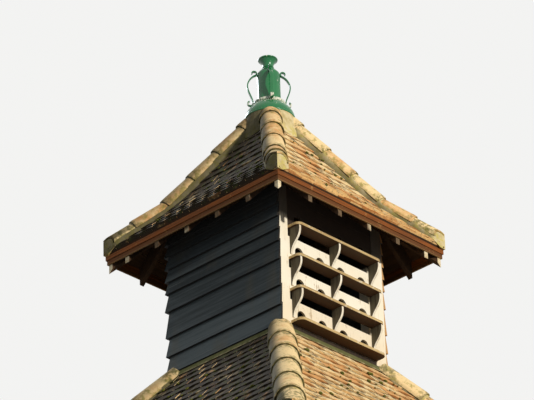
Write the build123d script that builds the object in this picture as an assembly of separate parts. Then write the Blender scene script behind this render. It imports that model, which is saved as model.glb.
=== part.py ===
from build123d import *
from math import atan2, cos, degrees, hypot, radians, sin, sqrt, tan
import os

# Timber dovecote turret on the top of a hipped plain-tile roof.
# Millimetres, +Z up. The origin is on the floor plane below the middle of the turret.
# The pigeon-hole face looks along -Y and is called the front.

# Turret walls
TOWER_SIDE = 1470.0
WALL_LINE = 55.0            # from the outer face of the boards in to the timber frame
POST_SIZE = 110.0
FACE_BOARD = 25.0           # thickness of the boards of the pigeon-hole face
FACE_RECESS = 6.0           # the hole boards lie this far behind the painted posts
FRONT_POST_WIDTH = 143.0

# Roof below, cut off level at the edge of what is known
LOWER_SIDE = 4400.0
LOWER_PITCH = 52.0
TILE_COAT = 40.0            # plain tiles and battens, square to the slope
LOWER_RAFTER_DEPTH = 100.0
LOWER_RAFTER_WIDTH = 50.0
RAFTER_SPACING = 410.0
LOWER_HIP_WIDTH = 60.0
LOWER_HIP_DEPTH = 150.0
PLATE_WIDTH = 150.0
PLATE_HEIGHT = 75.0
SILL_WIDTH = 140.0
SILL_DEPTH = 200.0
APRON_RISE = 12.0           # from the tiles up to the lowest board
APRON_LAP = 40.0            # how far the apron lies down the slope
APRON_THICK = 6.0

# Pigeon-hole face, heights above the foot of the boards
LEDGE_DEPTH = 138.0
LEDGE_THICK = 28.0
LEDGE_CORNER = 60.0
LEDGE_FIRST = 56.0          # underside of the lowest ledge
HEAD_BOARD_HEIGHT = 113.6   # the board above the highest tier
TIERS = 4
HOLE_SPACING = 291.0
HOLES_PER_TIER = 4
HOLE_WIDTH = 116.0
HOLE_HEIGHT = 152.0
BRACKET_THICK = 26.0
BRACKET_INSET = 39.0        # outer brackets, from the inner edge of the posts
BRACKET_SETBACK = 12.0      # from the ledge's front edge to the bracket's
BRACKET_TOE = 14.0          # depth of the bracket at its foot
BRACKET_FOOT_GAP = 42.0     # from the bracket's foot to the ledge below

# Weatherboarding, heights shown by each board from the bottom up
BOARD_EXPOSURES = (193.0, 201.0, 283.0, 195.0, 132.0, 135.0, 135.0, 135.0, 100.0)
BOARD_BUTT = 34.0           # thickness of a board at its lower edge
BOARD_TOP = 13.0            # thickness where the next board laps it

# Turret roof
EAVES_HALF = 1185.0         # from the axis to the lower edge of the tiles
WALL_HEIGHT = 1529.6        # foot of the boards to the head of the walls
SPROCKET_PITCH = 45.0
ROOF_PITCH = 57.3
SPROCKET_RUN = 430.0
BELL_RADIUS = 1300.0
BOARDING = 20.0
RAFTER_DEPTH = 130.0
RAFTER_WIDTH = 52.0
RAFTER_SHIFTS = {"front": 114.0, "right": 72.0, "back": -114.0, "left": -72.0}
HIP_RAFTER_WIDTH = 60.0
HIP_RAFTER_DEPTH = 150.0
HEAD_PLATE_WIDTH = 100.0
HEAD_PLATE_HEIGHT = 75.0
BIRDSMOUTH = 38.0
FASCIA_DEPTH = 105.0
FASCIA_THICK = 25.0
FASCIA_SETBACK = 14.0       # the tiles overhang the fascia by this
FASCIA_STEP = 10.0
FASCIA_STEP_HEIGHT = 48.0
FINIAL_POST = 100.0

# Half-round hip tiles
LOWER_HIP_TILE_LENGTH = 466.0    # length that shows
UPPER_HIP_TILE_LENGTH = 385.0
HIP_TILE_LAP = 60.0
HIP_TILE_FACETS = 16        # flats that stand for the round
LOWER_HIP_TILE_RADII = (145.0, 121.0)
LOWER_HIP_TILE_SINK = 68.0
UPPER_HIP_TILE_RADII = (122.0, 100.0)
UPPER_HIP_TILE_SINK = 20.0

# Finial, each height measured from the level below it
SKIRT_LIFT = 122.0          # foot of the skirt above the line of the hips at its radius
SKIRT_RADIUS = 258.0
SKIRT_WAIST_RADIUS = 233.0
SKIRT_WAIST_HEIGHT = 78.0
SKIRT_HEIGHT = 172.0
SKIRT_LAP = 8.0             # the skirt overhangs the mortar by this
BAND_RADIUS = 160.0
BAND_HEIGHT = 30.0
BODY_RADIUS = 119.0
BODY_HEIGHT = 323.0         # the straight side, up to the shoulder
SHOULDER_BEND = 53.0
SHOULDER_ANGLE = 44.0
SHOULDER_HEIGHT = 93.0
NECK_RADIUS = 54.0
NECK_HEIGHT = 16.0
CUP_HEIGHT = 92.0
CUP_RADIUS = 100.0
CUP_WALL = 9.0
CUP_LIP = 14.0
BEDDING_RADIUS = 290.0      # foot of the mortar on the tiles
POST_TAIL = 250.0           # the post runs on below the hip rafters by this
POST_SINK = 45.0            # its head stops short of the band by this
SCROLL_WIDTH = 34.0
SCROLL_THICK = 12.0
SCROLL_SEAT_GAP = 0.3
SCROLL_TOP_CURL = 26.0      # radius of the upper curl, to the middle of the iron
SCROLL_REST_ANGLE = 18.5    # where on the bend of the shoulder the upper curl rests
SCROLL_FOOT_CURL = 28.0
SCROLL_FOOT_SINK = 4.0      # middle of the lower curl below the top of the band
SCROLL_BOW = 217.0          # widest reach of the bow from the axis
SCROLL_BOW_RISE = 195.0     # height of the bow above the top of the band
SCROLL_TURN = 6.5           # the finial stands a little turned from the hips
FINIAL_FACETS = 36          # flats that stand for the round
PROFILE_FLATS = 4           # straight steps that stand for each curve of a profile

JOINT_GAP = 0.5             # between timbers of one set where they meet

# Worked out from the sizes above
TOWER_HALF = TOWER_SIDE / 2
FRAME_HALF = TOWER_HALF - WALL_LINE
FACE_HALF = TOWER_HALF - FRONT_POST_WIDTH
LOWER_HALF = LOWER_SIDE / 2
LOWER_TAN = tan(radians(LOWER_PITCH))
LOWER_COAT_V = TILE_COAT / cos(radians(LOWER_PITCH))
FOOT = (LOWER_HALF - TOWER_HALF) * LOWER_TAN + LOWER_COAT_V + APRON_RISE
LOWER_RAFTER_V = LOWER_RAFTER_DEPTH / cos(radians(LOWER_PITCH))
UPPER_COAT_V = TILE_COAT / cos(radians(SPROCKET_PITCH))
BOARDING_V = BOARDING / cos(radians(SPROCKET_PITCH))
RAFTER_V = RAFTER_DEPTH / cos(radians(SPROCKET_PITCH))
LAYERS = UPPER_COAT_V + BOARDING_V
RAFTER_UNDER = LAYERS + RAFTER_V
HIP_UNDER = LAYERS + HIP_RAFTER_DEPTH / cos(radians(SPROCKET_PITCH))
SPROCKET_TAN = tan(radians(SPROCKET_PITCH))
WALL_HEAD = FOOT + WALL_HEIGHT
TIER_HEIGHT = (WALL_HEIGHT - LEDGE_FIRST - HEAD_BOARD_HEIGHT) / TIERS
EAVES_TOP = WALL_HEAD + HIP_UNDER - (EAVES_HALF - TOWER_HALF) * SPROCKET_TAN
EAVES_BOTTOM = EAVES_TOP - UPPER_COAT_V
HEAD_PLATE_TOP = EAVES_TOP - RAFTER_UNDER + (EAVES_HALF - FRAME_HALF) * SPROCKET_TAN + BIRDSMOUTH
HEAD_PLATE_BOTTOM = HEAD_PLATE_TOP - HEAD_PLATE_HEIGHT
RAFTER_FOOT = EAVES_HALF - FASCIA_SETBACK - FASCIA_THICK
SILL_TOP = FOOT - APRON_RISE
KNEE = EAVES_TOP + SPROCKET_RUN * SPROCKET_TAN
ROOF_TAN = tan(radians(ROOF_PITCH))
PEAK = KNEE + (EAVES_HALF - SPROCKET_RUN) * ROOF_TAN
SKIRT_FOOT = PEAK - SKIRT_RADIUS / sqrt(2) * ROOF_TAN + SKIRT_LIFT
BAND_FOOT = SKIRT_FOOT + SKIRT_HEIGHT
BAND_TOP = BAND_FOOT + BAND_HEIGHT
SHOULDER = BAND_TOP + BODY_HEIGHT
NECK = SHOULDER + SHOULDER_HEIGHT
CUP_BASE = NECK + NECK_HEIGHT
CUP_RIM = CUP_BASE + CUP_HEIGHT
BIG = 2 * LOWER_SIDE
SIDES = {"front": 0, "right": 90, "back": 180, "left": 270}

os.makedirs("parts", exist_ok=True)


def save(shapes, name):
    """Write one node, made of one or more solids."""
    solids = []
    for shape in shapes if isinstance(shapes, (list, tuple)) else [shapes]:
        solids += list(shape.solids())
    whole = solids[0] if len(solids) == 1 else Compound(children=solids)
    whole.label = name
    export_step(whole, f"parts/{name}.step")


def turned(shape, side):
    """A piece drawn for the front, turned to another side."""
    return Rot(0, 0, SIDES[side]) * shape


def yz_prism(points, half_length):
    """A section drawn in the YZ plane, run along X to both sides."""
    face = make_face(Polyline(*[(0, y, z) for y, z in points], close=True))
    return extrude(face, half_length, dir=(1, 0, 0), both=True)


def slab_box(x0, x1, y0, y1, z0, z1):
    """A box given by its faces."""
    centre = ((x0 + x1) / 2, (y0 + y1) / 2, (z0 + z1) / 2)
    return Pos(*centre) * Box(x1 - x0, y1 - y0, z1 - z0)


def square_block(half, bottom, top):
    """A square block about the axis."""
    return slab_box(-half, half, -half, half, bottom, top)


def quarter(clear=0.0):
    """The quarter of space nearest the front, between the two diagonal planes."""
    tip = -clear * sqrt(2)
    reach = BIG
    face = make_face(Polyline((0, tip), (-reach, tip - reach), (reach, tip - reach), close=True))
    return Pos(0, 0, -BIG / 4) * extrude(face, BIG)


def four_beams(half, width, bottom, height):
    """Four timbers on a square, the side pair between the front and back pair."""
    beams = []
    for side in SIDES:
        end = half if side in ("front", "back") else half - width - JOINT_GAP
        beams.append(turned(slab_box(-end, end, -half, -half + width, bottom, bottom + height), side))
    return beams


# The roof below

def lower_surface(out, drop=0.0):
    """Height of the roof below at a distance from the axis."""
    return (LOWER_HALF - out) * LOWER_TAN + LOWER_COAT_V - drop


def lower_envelope(drop):
    """The solid hip roof under the tiles, less a vertical drop."""
    reach = LOWER_HALF
    rise = lower_surface(0, drop)
    foot = lower_surface(reach, drop)
    outline = [(-reach, -PLATE_HEIGHT), (-reach, foot), (0, rise), (reach, foot), (reach, -PLATE_HEIGHT)]
    prism = yz_prism(outline, LOWER_HALF)
    return prism & Rot(0, 0, 90) * prism


def lower_tiles():
    inner = lower_surface(TOWER_HALF, LOWER_COAT_V)
    outline = [
        (-LOWER_HALF, 0),
        (-LOWER_HALF, LOWER_COAT_V),
        (-TOWER_HALF, lower_surface(TOWER_HALF)),
        (-TOWER_HALF, inner),
    ]
    return yz_prism(outline, LOWER_HALF) & quarter()


def lower_rafter_outline():
    """Section of a common rafter, from its seat on the plate up to the sill."""
    seat_out = LOWER_HALF - PLATE_HEIGHT / LOWER_TAN
    seat_in = LOWER_HALF - (PLATE_HEIGHT + LOWER_RAFTER_V) / LOWER_TAN
    head = lower_surface(FRAME_HALF, LOWER_COAT_V)
    return [
        (-seat_out, PLATE_HEIGHT),
        (-FRAME_HALF, head),
        (-FRAME_HALF, head - LOWER_RAFTER_V),
        (-seat_in, PLATE_HEIGHT),
    ]


def rafter_places(reach):
    """Distances from the middle of a side at which rafters stand."""
    count = int(reach // RAFTER_SPACING)
    return [RAFTER_SPACING * i for i in range(-count, count + 1)]


def lower_rafters():
    rafter = yz_prism(lower_rafter_outline(), LOWER_RAFTER_WIDTH / 2)
    room = quarter(LOWER_HIP_WIDTH / 2 + JOINT_GAP)
    pieces = []
    for x in rafter_places(LOWER_HALF - RAFTER_SPACING):
        cut = (Pos(x, 0, 0) * rafter) & room
        pieces += [turned(cut, side) for side in SIDES]
    return pieces


def lower_hip_rafters():
    drop = LOWER_HIP_DEPTH / cos(radians(LOWER_PITCH))
    seat_out = LOWER_HALF - PLATE_HEIGHT / LOWER_TAN
    seat_in = LOWER_HALF - (PLATE_HEIGHT + drop) / LOWER_TAN
    head = lower_surface(FRAME_HALF, LOWER_COAT_V)
    outline = [
        (-seat_out * sqrt(2), PLATE_HEIGHT),
        (-FRAME_HALF * sqrt(2), head),
        (-FRAME_HALF * sqrt(2), head - drop),
        (-seat_in * sqrt(2), PLATE_HEIGHT),
    ]
    corner = Rot(0, 0, -45) * yz_prism(outline, LOWER_HIP_WIDTH / 2)
    corner = (corner & lower_envelope(LOWER_COAT_V)) - square_block(FRAME_HALF, 0, BIG)
    return [turned(corner, side) for side in SIDES]


# Half-round hip tiles

def hip_tile(start, end, radii):
    """One tapered round tile from its wide lower end to its narrow upper end."""
    run = end - start
    flat = Plane(origin=start, z_dir=run, x_dir=(1, -1, 0))
    mouth = flat * (Rot(0, 0, 180 / HIP_TILE_FACETS) * RegularPolygon(radii[0], HIP_TILE_FACETS))
    return extrude(mouth, run.length, taper=degrees(atan2(radii[0] - radii[1], run.length)))


def hip_row(path, radii, sink, clear):
    """A row of lapping hip tiles along a path in the front-left diagonal plane."""
    tiles = []
    for lower, upper in zip(path, path[1:]):
        start = Vector(-lower[0], -lower[0], lower[1] - sink)
        end = Vector(-upper[0], -upper[0], upper[1] - sink)
        lap = (end - start).normalized() * HIP_TILE_LAP
        tiles.append(hip_tile(start, end + lap, radii))
    row = tiles[0]
    for tile in tiles[1:]:
        row += tile
    for solid in clear:
        row -= solid
    return row


def largest(shape):
    """The biggest solid of a cut, without the offcuts."""
    return sorted(shape.solids(), key=lambda s: s.volume)[-1]


def lower_hip_path():
    """Points along the lower hip, one tile apart, from the corner up to the turret."""
    slope = hypot(sqrt(2), LOWER_TAN)
    total = (LOWER_HALF - TOWER_HALF) * slope
    count = round(total / LOWER_HIP_TILE_LENGTH)
    step = (LOWER_HALF - TOWER_HALF) / count
    overrun = 2 * LOWER_HIP_TILE_RADII[0]
    outs = [LOWER_HALF + overrun] + [LOWER_HALF - step * i for i in range(1, count + 1)]
    return [(out, lower_surface(out)) for out in outs]


# The turret

def boarded_wall():
    """Feather-edged boards of one wall in section, mitred at the corners."""
    back = -FRAME_HALF
    points = [(back, FOOT)]
    height = FOOT
    for exposure in BOARD_EXPOSURES:
        points.append((-TOWER_HALF + BOARD_TOP - BOARD_BUTT / 2, height))
        height += exposure
        points.append((-TOWER_HALF + BOARD_BUTT / 2, height))
    points.append((back, height))
    return yz_prism(points, TOWER_SIDE) & quarter()


def side_wall(side):
    """A boarded wall that stops behind the painted post, or laps its edge on the right."""
    reach = TOWER_HALF + JOINT_GAP if side == "right" else BIG
    behind_post = slab_box(-BIG, reach, -BIG, -TOWER_HALF + FACE_BOARD, 0, BIG)
    before_face = slab_box(-BIG, BIG, -BIG, -TOWER_HALF, 0, BIG)
    return turned(boarded_wall(), side) - behind_post - before_face


def apron():
    """Flashing that fills from the foot of the walls out over the top course of tiles."""
    lip = TOWER_HALF + APRON_LAP
    outline = [
        (-FRAME_HALF, FOOT),
        (-TOWER_HALF - BOARD_BUTT / 2, FOOT),
        (-lip, lower_surface(lip) + APRON_THICK),
        (-lip, lower_surface(lip)),
        (-TOWER_HALF, lower_surface(TOWER_HALF)),
        (-FRAME_HALF, lower_surface(FRAME_HALF, LOWER_COAT_V)),
    ]
    return yz_prism(outline, TOWER_SIDE) & quarter(JOINT_GAP / 2)


def ledge_underside(tier):
    return FOOT + LEDGE_FIRST + TIER_HEIGHT * tier


def ledge(tier):
    """A perch board with rounded front corners, tier 0 at the bottom."""
    back = -TOWER_HALF + FACE_RECESS
    front = -TOWER_HALF - LEDGE_DEPTH
    half = FACE_HALF
    corners = FilletPolyline((-half, back), (-half, front), (half, front), (half, back), radius=LEDGE_CORNER)
    outline = make_face(corners + Line((half, back), (-half, back)))
    return Pos(0, 0, ledge_underside(tier)) * extrude(outline, LEDGE_THICK)


def bracket_outline(top):
    """Side view of a bracket: broad under the ledge, an ogee sweep down to a narrow toe."""
    wall = -TOWER_HALF + FACE_RECESS
    front = -TOWER_HALF - LEDGE_DEPTH + BRACKET_SETBACK
    toe = wall - BRACKET_TOE
    height = TIER_HEIGHT - LEDGE_THICK - BRACKET_FOOT_GAP
    nose = (0, front, top - 0.16 * height)
    waist = (0, (front + toe) / 2, top - 0.55 * height)
    foot = (0, toe, top - height)
    sweep = Spline(nose, waist, foot, tangents=[(0, 0.1, -1), (0, 0, -1)])
    back = Polyline(foot, (0, wall, top - height), (0, wall, top), (0, front, top), nose)
    return make_face(sweep + back)


def brackets(tier):
    """Three brackets under the ledge above a tier."""
    top = ledge_underside(tier + 1)
    bracket = extrude(bracket_outline(top), BRACKET_THICK / 2, dir=(1, 0, 0), both=True)
    side = FACE_HALF - BRACKET_INSET
    return [Pos(x, 0, 0) * bracket for x in (-side, 0, side)]


def hole_board(tier):
    """The boards between two ledges, with arched holes that rise from the ledge."""
    bottom = ledge_underside(tier) + LEDGE_THICK
    board = face_board(bottom, ledge_underside(tier + 1))
    outer = -TOWER_HALF + FACE_RECESS
    radius = HOLE_WIDTH / 2
    spring = bottom + HOLE_HEIGHT - radius
    cut_depth = 3 * FACE_BOARD
    for i in range(HOLES_PER_TIER):
        x = HOLE_SPACING * (i - (HOLES_PER_TIER - 1) / 2)
        arch = Pos(x, outer, spring) * (Rot(90, 0, 0) * Cylinder(radius, cut_depth))
        jambs = slab_box(x - radius, x + radius, outer - cut_depth, outer + cut_depth, bottom - 1, spring)
        board -= arch + jambs
    return board


def front_posts():
    """Broad painted posts at the two corners of the pigeon-hole face."""
    inner = -TOWER_HALF + FRONT_POST_WIDTH
    behind = -TOWER_HALF + FACE_BOARD
    core_end = -FRAME_HALF + POST_SIZE
    face = slab_box(-TOWER_HALF, inner, -TOWER_HALF, behind, FOOT, WALL_HEAD)
    web = slab_box(-FRAME_HALF, inner, behind, -FRAME_HALF, FOOT, WALL_HEAD)
    core = slab_box(-FRAME_HALF, core_end, -FRAME_HALF, core_end, SILL_TOP, HEAD_PLATE_BOTTOM)
    post = face + web + core
    return [post, mirror(post, about=Plane.YZ)]


def back_posts():
    """Plain posts behind the boards at the two back corners."""
    near = FRAME_HALF - POST_SIZE
    post = slab_box(-FRAME_HALF, -near, near, FRAME_HALF, SILL_TOP, HEAD_PLATE_BOTTOM)
    return [post, mirror(post, about=Plane.YZ)]


def face_board(bottom, top):
    """A board of the pigeon-hole face between the painted posts."""
    outer = -TOWER_HALF + FACE_RECESS
    return slab_box(-FACE_HALF, FACE_HALF, outer, outer + FACE_BOARD, bottom, top)


# The turret roof

def bell_outline(drop_low, drop_high, inner, outer):
    """Section of a layer of the bell-cast roof between two vertical drops."""
    lines = []
    for drop in (drop_high, drop_low):
        knee = (-EAVES_HALF + SPROCKET_RUN, KNEE - drop)
        lines.append(((-EAVES_HALF, EAVES_TOP - drop), knee, (0, PEAK - drop)))
    top = FilletPolyline(*[(0, y, z) for y, z in lines[0]], radius=BELL_RADIUS)
    bottom = FilletPolyline(*[(0, y, z) for y, z in lines[1]], radius=BELL_RADIUS)
    ends = [
        Line((0, *lines[0][0]), (0, *lines[1][0])),
        Line((0, *lines[0][2]), (0, *lines[1][2])),
    ]
    face = make_face(Curve() + [top, bottom] + ends)
    layer = extrude(face, EAVES_HALF, dir=(1, 0, 0), both=True)
    keep = slab_box(-BIG, BIG, -outer, -inner, 0, BIG)
    return layer & keep


def bell_envelope():
    """Everything under the outer surface of the turret roof."""
    depth = 2 * EAVES_HALF * ROOF_TAN
    front = bell_outline(depth, 0, 0, EAVES_HALF)
    ridge = front + mirror(front, about=Plane.XZ)
    return ridge & Rot(0, 0, 90) * ridge


def roof_tiles():
    return bell_outline(UPPER_COAT_V, 0, FINIAL_POST / 2, EAVES_HALF) & quarter()


def roof_boarding():
    layer = bell_outline(LAYERS, UPPER_COAT_V, FINIAL_POST / 2, EAVES_HALF - FASCIA_SETBACK)
    sheet = layer & quarter(JOINT_GAP / 2)
    return [turned(sheet, side) for side in SIDES]


def rafter_solids():
    """Common and jack rafters of all four sides, notched over the head plate."""
    block = bell_outline(RAFTER_UNDER, LAYERS, FINIAL_POST / 2, RAFTER_FOOT)
    room = quarter(HIP_RAFTER_WIDTH / 2 + JOINT_GAP)
    pieces = []
    for side, shift in RAFTER_SHIFTS.items():
        for place in rafter_places(EAVES_HALF - RAFTER_SPACING / 2):
            x = place + shift
            strip = slab_box(x - RAFTER_WIDTH / 2, x + RAFTER_WIDTH / 2, -BIG, 0, 0, BIG)
            piece = (block & strip & room) - square_block(FRAME_HALF, 0, HEAD_PLATE_TOP)
            pieces.append(turned(largest(piece), side))
    return pieces


def hip_rafter_solids():
    """Deeper rafters under the four hips."""
    layer = bell_outline(HIP_UNDER, LAYERS, 0, RAFTER_FOOT)
    ridge = layer + mirror(layer, about=Plane.XZ)
    crossed = ridge & Rot(0, 0, 90) * ridge
    strip = Rot(0, 0, -45) * slab_box(-HIP_RAFTER_WIDTH / 2, HIP_RAFTER_WIDTH / 2, -BIG, 0, 0, BIG)
    notch = square_block(FRAME_HALF, 0, HEAD_PLATE_TOP)
    piece = (crossed & strip) - square_block(FINIAL_POST / 2, 0, BIG) - notch
    return [turned(largest(piece), side) for side in SIDES]


def fascia():
    """Fascia boards with a stepped face, mitred at the corners."""
    front = -EAVES_HALF + FASCIA_SETBACK
    back = front + FASCIA_THICK
    top = EAVES_TOP - LAYERS + FASCIA_SETBACK * SPROCKET_TAN
    top_back = top + FASCIA_THICK * SPROCKET_TAN
    bottom = EAVES_BOTTOM - FASCIA_DEPTH
    step = bottom + FASCIA_STEP_HEIGHT
    outline = [
        (front, top),
        (front, step),
        (front + FASCIA_STEP, step),
        (front + FASCIA_STEP, bottom),
        (back, bottom),
        (back, top_back),
    ]
    board = yz_prism(outline, EAVES_HALF) & quarter(JOINT_GAP / 2)
    return [turned(board, side) for side in SIDES]


def upper_hip_path():
    """Points along the upper hip from the corner of the eaves to the finial."""
    def surface(out):
        sprocket = EAVES_TOP + (EAVES_HALF - out) * SPROCKET_TAN
        return sprocket if EAVES_HALF - out < SPROCKET_RUN else PEAK - out * ROOF_TAN
    low_step = UPPER_HIP_TILE_LENGTH / hypot(sqrt(2), SPROCKET_TAN)
    high_step = UPPER_HIP_TILE_LENGTH / hypot(sqrt(2), ROOF_TAN)
    outs = [EAVES_HALF + 2 * UPPER_HIP_TILE_RADII[0]]
    out = EAVES_HALF
    while out > FINIAL_POST:
        out -= low_step if EAVES_HALF - out < SPROCKET_RUN else high_step
        outs.append(max(out, FINIAL_POST / 2))
    return [(out, surface(out)) for out in outs]


# The finial

def lathe(profile):
    """A turned solid from radii and heights, foot to head, with a flat of its round behind each scroll."""
    turn = 45 + SCROLL_TURN - 180 / FINIAL_FACETS
    bands = []
    for (foot_radius, foot), (head_radius, head) in zip(profile, profile[1:]):
        if head > foot:
            mouth = RegularPolygon(foot_radius, FINIAL_FACETS, major_radius=False, rotation=turn)
            taper = degrees(atan2(foot_radius - head_radius, head - foot))
            bands.append(extrude(Pos(0, 0, foot) * mouth, head - foot, taper=taper))
    return Part() + bands


def flats(curve):
    """Radii and heights along a curve in the XZ plane, to be joined by straight steps."""
    places = [curve @ (i / PROFILE_FLATS) for i in range(PROFILE_FLATS + 1)]
    return [(place.X, place.Z) for place in places]


def skirt_shape():
    """Bell-shaped foot of the finial with its collar band."""
    foot = (SKIRT_RADIUS, 0, SKIRT_FOOT)
    waist = (SKIRT_WAIST_RADIUS, 0, SKIRT_FOOT + SKIRT_WAIST_HEIGHT)
    throat = (BAND_RADIUS, 0, BAND_FOOT)
    return lathe(flats(ThreePointArc(foot, waist, throat)) + [(BAND_RADIUS, BAND_TOP)])


def bedding_shape():
    """Mortar that fills from the tiles up to the foot of the skirt."""
    low = PEAK - BEDDING_RADIUS * ROOF_TAN
    return lathe([(BEDDING_RADIUS, low), (SKIRT_RADIUS - SKIRT_LAP, SKIRT_FOOT)])


def shoulder_centre():
    """Centre of the bend where the side of the body turns in."""
    return BODY_RADIUS - SHOULDER_BEND, SHOULDER


def body_shape():
    """Round body that shoulders in to a narrow neck."""
    x, z = shoulder_centre()
    angle = radians(SHOULDER_ANGLE)
    start = (BODY_RADIUS, 0, SHOULDER)
    turn = (x + SHOULDER_BEND * cos(angle), 0, z + SHOULDER_BEND * sin(angle))
    bend = TangentArc(start, turn, tangent=(0, 0, 1))
    return lathe([(BODY_RADIUS, BAND_TOP)] + flats(bend) + [(NECK_RADIUS, NECK), (NECK_RADIUS, CUP_BASE)])


def cup_shape():
    """Open cup that flares to a flat rim."""
    base = (NECK_RADIUS, 0, CUP_BASE)
    under_rim = (CUP_RADIUS - CUP_WALL, 0, CUP_RIM - CUP_LIP)
    flare = flats(TangentArc(under_rim, base, tangent=(-0.3, 0, -1)))[::-1]
    outside = lathe(flare + [(CUP_RADIUS, CUP_RIM - CUP_LIP), (CUP_RADIUS, CUP_RIM)])
    hollow = [(NECK_RADIUS - CUP_WALL, CUP_BASE + CUP_WALL), (CUP_RADIUS - 2 * CUP_WALL, CUP_RIM)]
    return outside - lathe(hollow)


def scroll():
    """A flat iron scroll in the XZ plane, bowed out from the body with a curl at each end."""
    lift = SCROLL_SEAT_GAP + SCROLL_THICK / 2
    x, z = shoulder_centre()
    rest = radians(SCROLL_REST_ANGLE)
    reach = SHOULDER_BEND + lift + SCROLL_TOP_CURL
    upper = CenterArc((x + reach * cos(rest), z + reach * sin(rest)), SCROLL_TOP_CURL, -10, 255)
    bow = (SCROLL_BOW, BAND_TOP + SCROLL_BOW_RISE)
    foot = BAND_TOP - SCROLL_FOOT_SINK
    seat = BAND_RADIUS + lift
    lower = CenterArc((seat + SCROLL_FOOT_CURL, foot), SCROLL_FOOT_CURL, 180, 250)
    bowed = Spline(upper @ 1, bow, lower @ 0, tangents=[upper % 1, lower % 0])
    path = Plane.XZ * (upper + bowed + lower)
    start = Plane(origin=path @ 0, x_dir=(0, 1, 0), z_dir=path % 0)
    return sweep(start * Rectangle(SCROLL_WIDTH, SCROLL_THICK), path=path)


plates = four_beams(LOWER_HALF - PLATE_HEIGHT / LOWER_TAN, PLATE_WIDTH, 0, PLATE_HEIGHT)
save(plates, "lower_wall_plate")
save(lower_rafters(), "lower_rafters")
save(lower_hip_rafters(), "lower_hip_rafters")
slope = lower_tiles()
for side_name in SIDES:
    save(turned(slope, side_name), f"lower_tiles_{side_name}")

turret_block = square_block(TOWER_HALF + BOARD_BUTT / 2, 0, BIG)
hips = hip_row(lower_hip_path(), LOWER_HIP_TILE_RADII, LOWER_HIP_TILE_SINK, [lower_envelope(0), turret_block])
lower_hip = largest(hips & square_block(LOWER_HALF, 0, BIG))
lower_hips = [turned(lower_hip, side_name) for side_name in SIDES]
save(lower_hips, "lower_hip_tiles")
flashing = [turned(apron(), side_name) for side_name in SIDES]
for hip_piece in lower_hips:
    flashing = [strip - hip_piece for strip in flashing]
save(flashing, "apron_flashing")
save(four_beams(FRAME_HALF, SILL_WIDTH, SILL_TOP - SILL_DEPTH, SILL_DEPTH), "sill_frame")

save(four_beams(FRAME_HALF, HEAD_PLATE_WIDTH, HEAD_PLATE_BOTTOM, HEAD_PLATE_HEIGHT), "head_plate")
save(front_posts(), "front_posts")
save(back_posts(), "back_posts")

for tier_index in range(TIERS):
    save(ledge(tier_index), f"ledge_{tier_index + 1}")
    save(hole_board(tier_index), f"hole_board_{tier_index + 1}")
    if tier_index < TIERS - 1:
        save(brackets(tier_index), f"brackets_{tier_index + 1}")

save(face_board(FOOT, ledge_underside(0)), "sill_board")
save(face_board(ledge_underside(TIERS), WALL_HEAD), "head_board")

save(side_wall("left"), "left_wall")
save(side_wall("right"), "right_wall")
save(turned(boarded_wall(), "back"), "back_wall")

roof_slope = roof_tiles()
for side_name in SIDES:
    save(turned(roof_slope, side_name), f"roof_tiles_{side_name}")
save(roof_boarding(), "roof_boarding")
save(rafter_solids(), "rafters")
save(hip_rafter_solids(), "hip_rafters")
save(fascia(), "fascia")

post_low = PEAK - FINIAL_POST / 2 * ROOF_TAN - HIP_UNDER - POST_TAIL
finial_post = square_block(FINIAL_POST / 2, post_low, BAND_TOP - POST_SINK)
save(finial_post, "finial_post")
envelope = bell_envelope()
eaves_box = square_block(EAVES_HALF, EAVES_BOTTOM, BIG)
hip_solids = hip_row(upper_hip_path(), UPPER_HIP_TILE_RADII, UPPER_HIP_TILE_SINK, [envelope])
corner_room = slab_box(-BIG, 0, -BIG, 0, 0, BIG)
upper_hip = largest((hip_solids & eaves_box & corner_room) - finial_post)
upper_hips = [turned(upper_hip, side_name) for side_name in SIDES]
save(upper_hips, "roof_hip_tiles")

skirt = skirt_shape() - envelope - finial_post
bedding = bedding_shape() - envelope - finial_post
for hip_piece in upper_hips:
    skirt -= hip_piece
    bedding -= hip_piece
save(largest(skirt), "finial_skirt")
save(bedding, "finial_bedding")
save(body_shape(), "finial_body")
save(cup_shape(), "finial_cup")
iron = scroll()
turns = [45 + SCROLL_TURN + SIDES[side_name] for side_name in SIDES]
save([Rot(0, 0, turn) * iron for turn in turns], "finial_scrolls")
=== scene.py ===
import random
from math import acos, ceil, cos, hypot, inf, pi, radians, sin, sqrt, tan

import bmesh
import bpy
from bpy.props import FloatProperty, FloatVectorProperty, IntProperty, PointerProperty
from mathutils import Matrix, Vector
from mathutils.noise import noise


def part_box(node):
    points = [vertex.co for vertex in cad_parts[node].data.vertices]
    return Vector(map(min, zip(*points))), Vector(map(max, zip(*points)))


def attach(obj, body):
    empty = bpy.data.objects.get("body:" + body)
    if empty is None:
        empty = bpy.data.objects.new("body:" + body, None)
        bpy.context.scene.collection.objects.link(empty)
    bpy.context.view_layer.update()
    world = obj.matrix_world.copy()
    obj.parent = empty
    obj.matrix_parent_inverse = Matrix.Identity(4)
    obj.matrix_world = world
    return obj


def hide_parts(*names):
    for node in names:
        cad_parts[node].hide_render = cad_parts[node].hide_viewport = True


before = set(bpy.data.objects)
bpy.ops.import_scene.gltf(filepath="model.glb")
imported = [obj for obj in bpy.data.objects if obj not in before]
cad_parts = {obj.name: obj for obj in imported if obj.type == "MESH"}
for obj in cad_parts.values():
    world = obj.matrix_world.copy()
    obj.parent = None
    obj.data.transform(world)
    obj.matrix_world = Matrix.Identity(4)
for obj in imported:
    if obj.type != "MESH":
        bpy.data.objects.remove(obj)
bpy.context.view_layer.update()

bl_info = {
    "name": "Dovecote turret",
    "version": (1, 0, 0),
    "blender": (4, 5, 0),
    "location": "View3D > Sidebar > Dovecote",
    "description": "Tiles, boards, paint and finial of a timber dovecote turret",
    "category": "Object",
}

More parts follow.
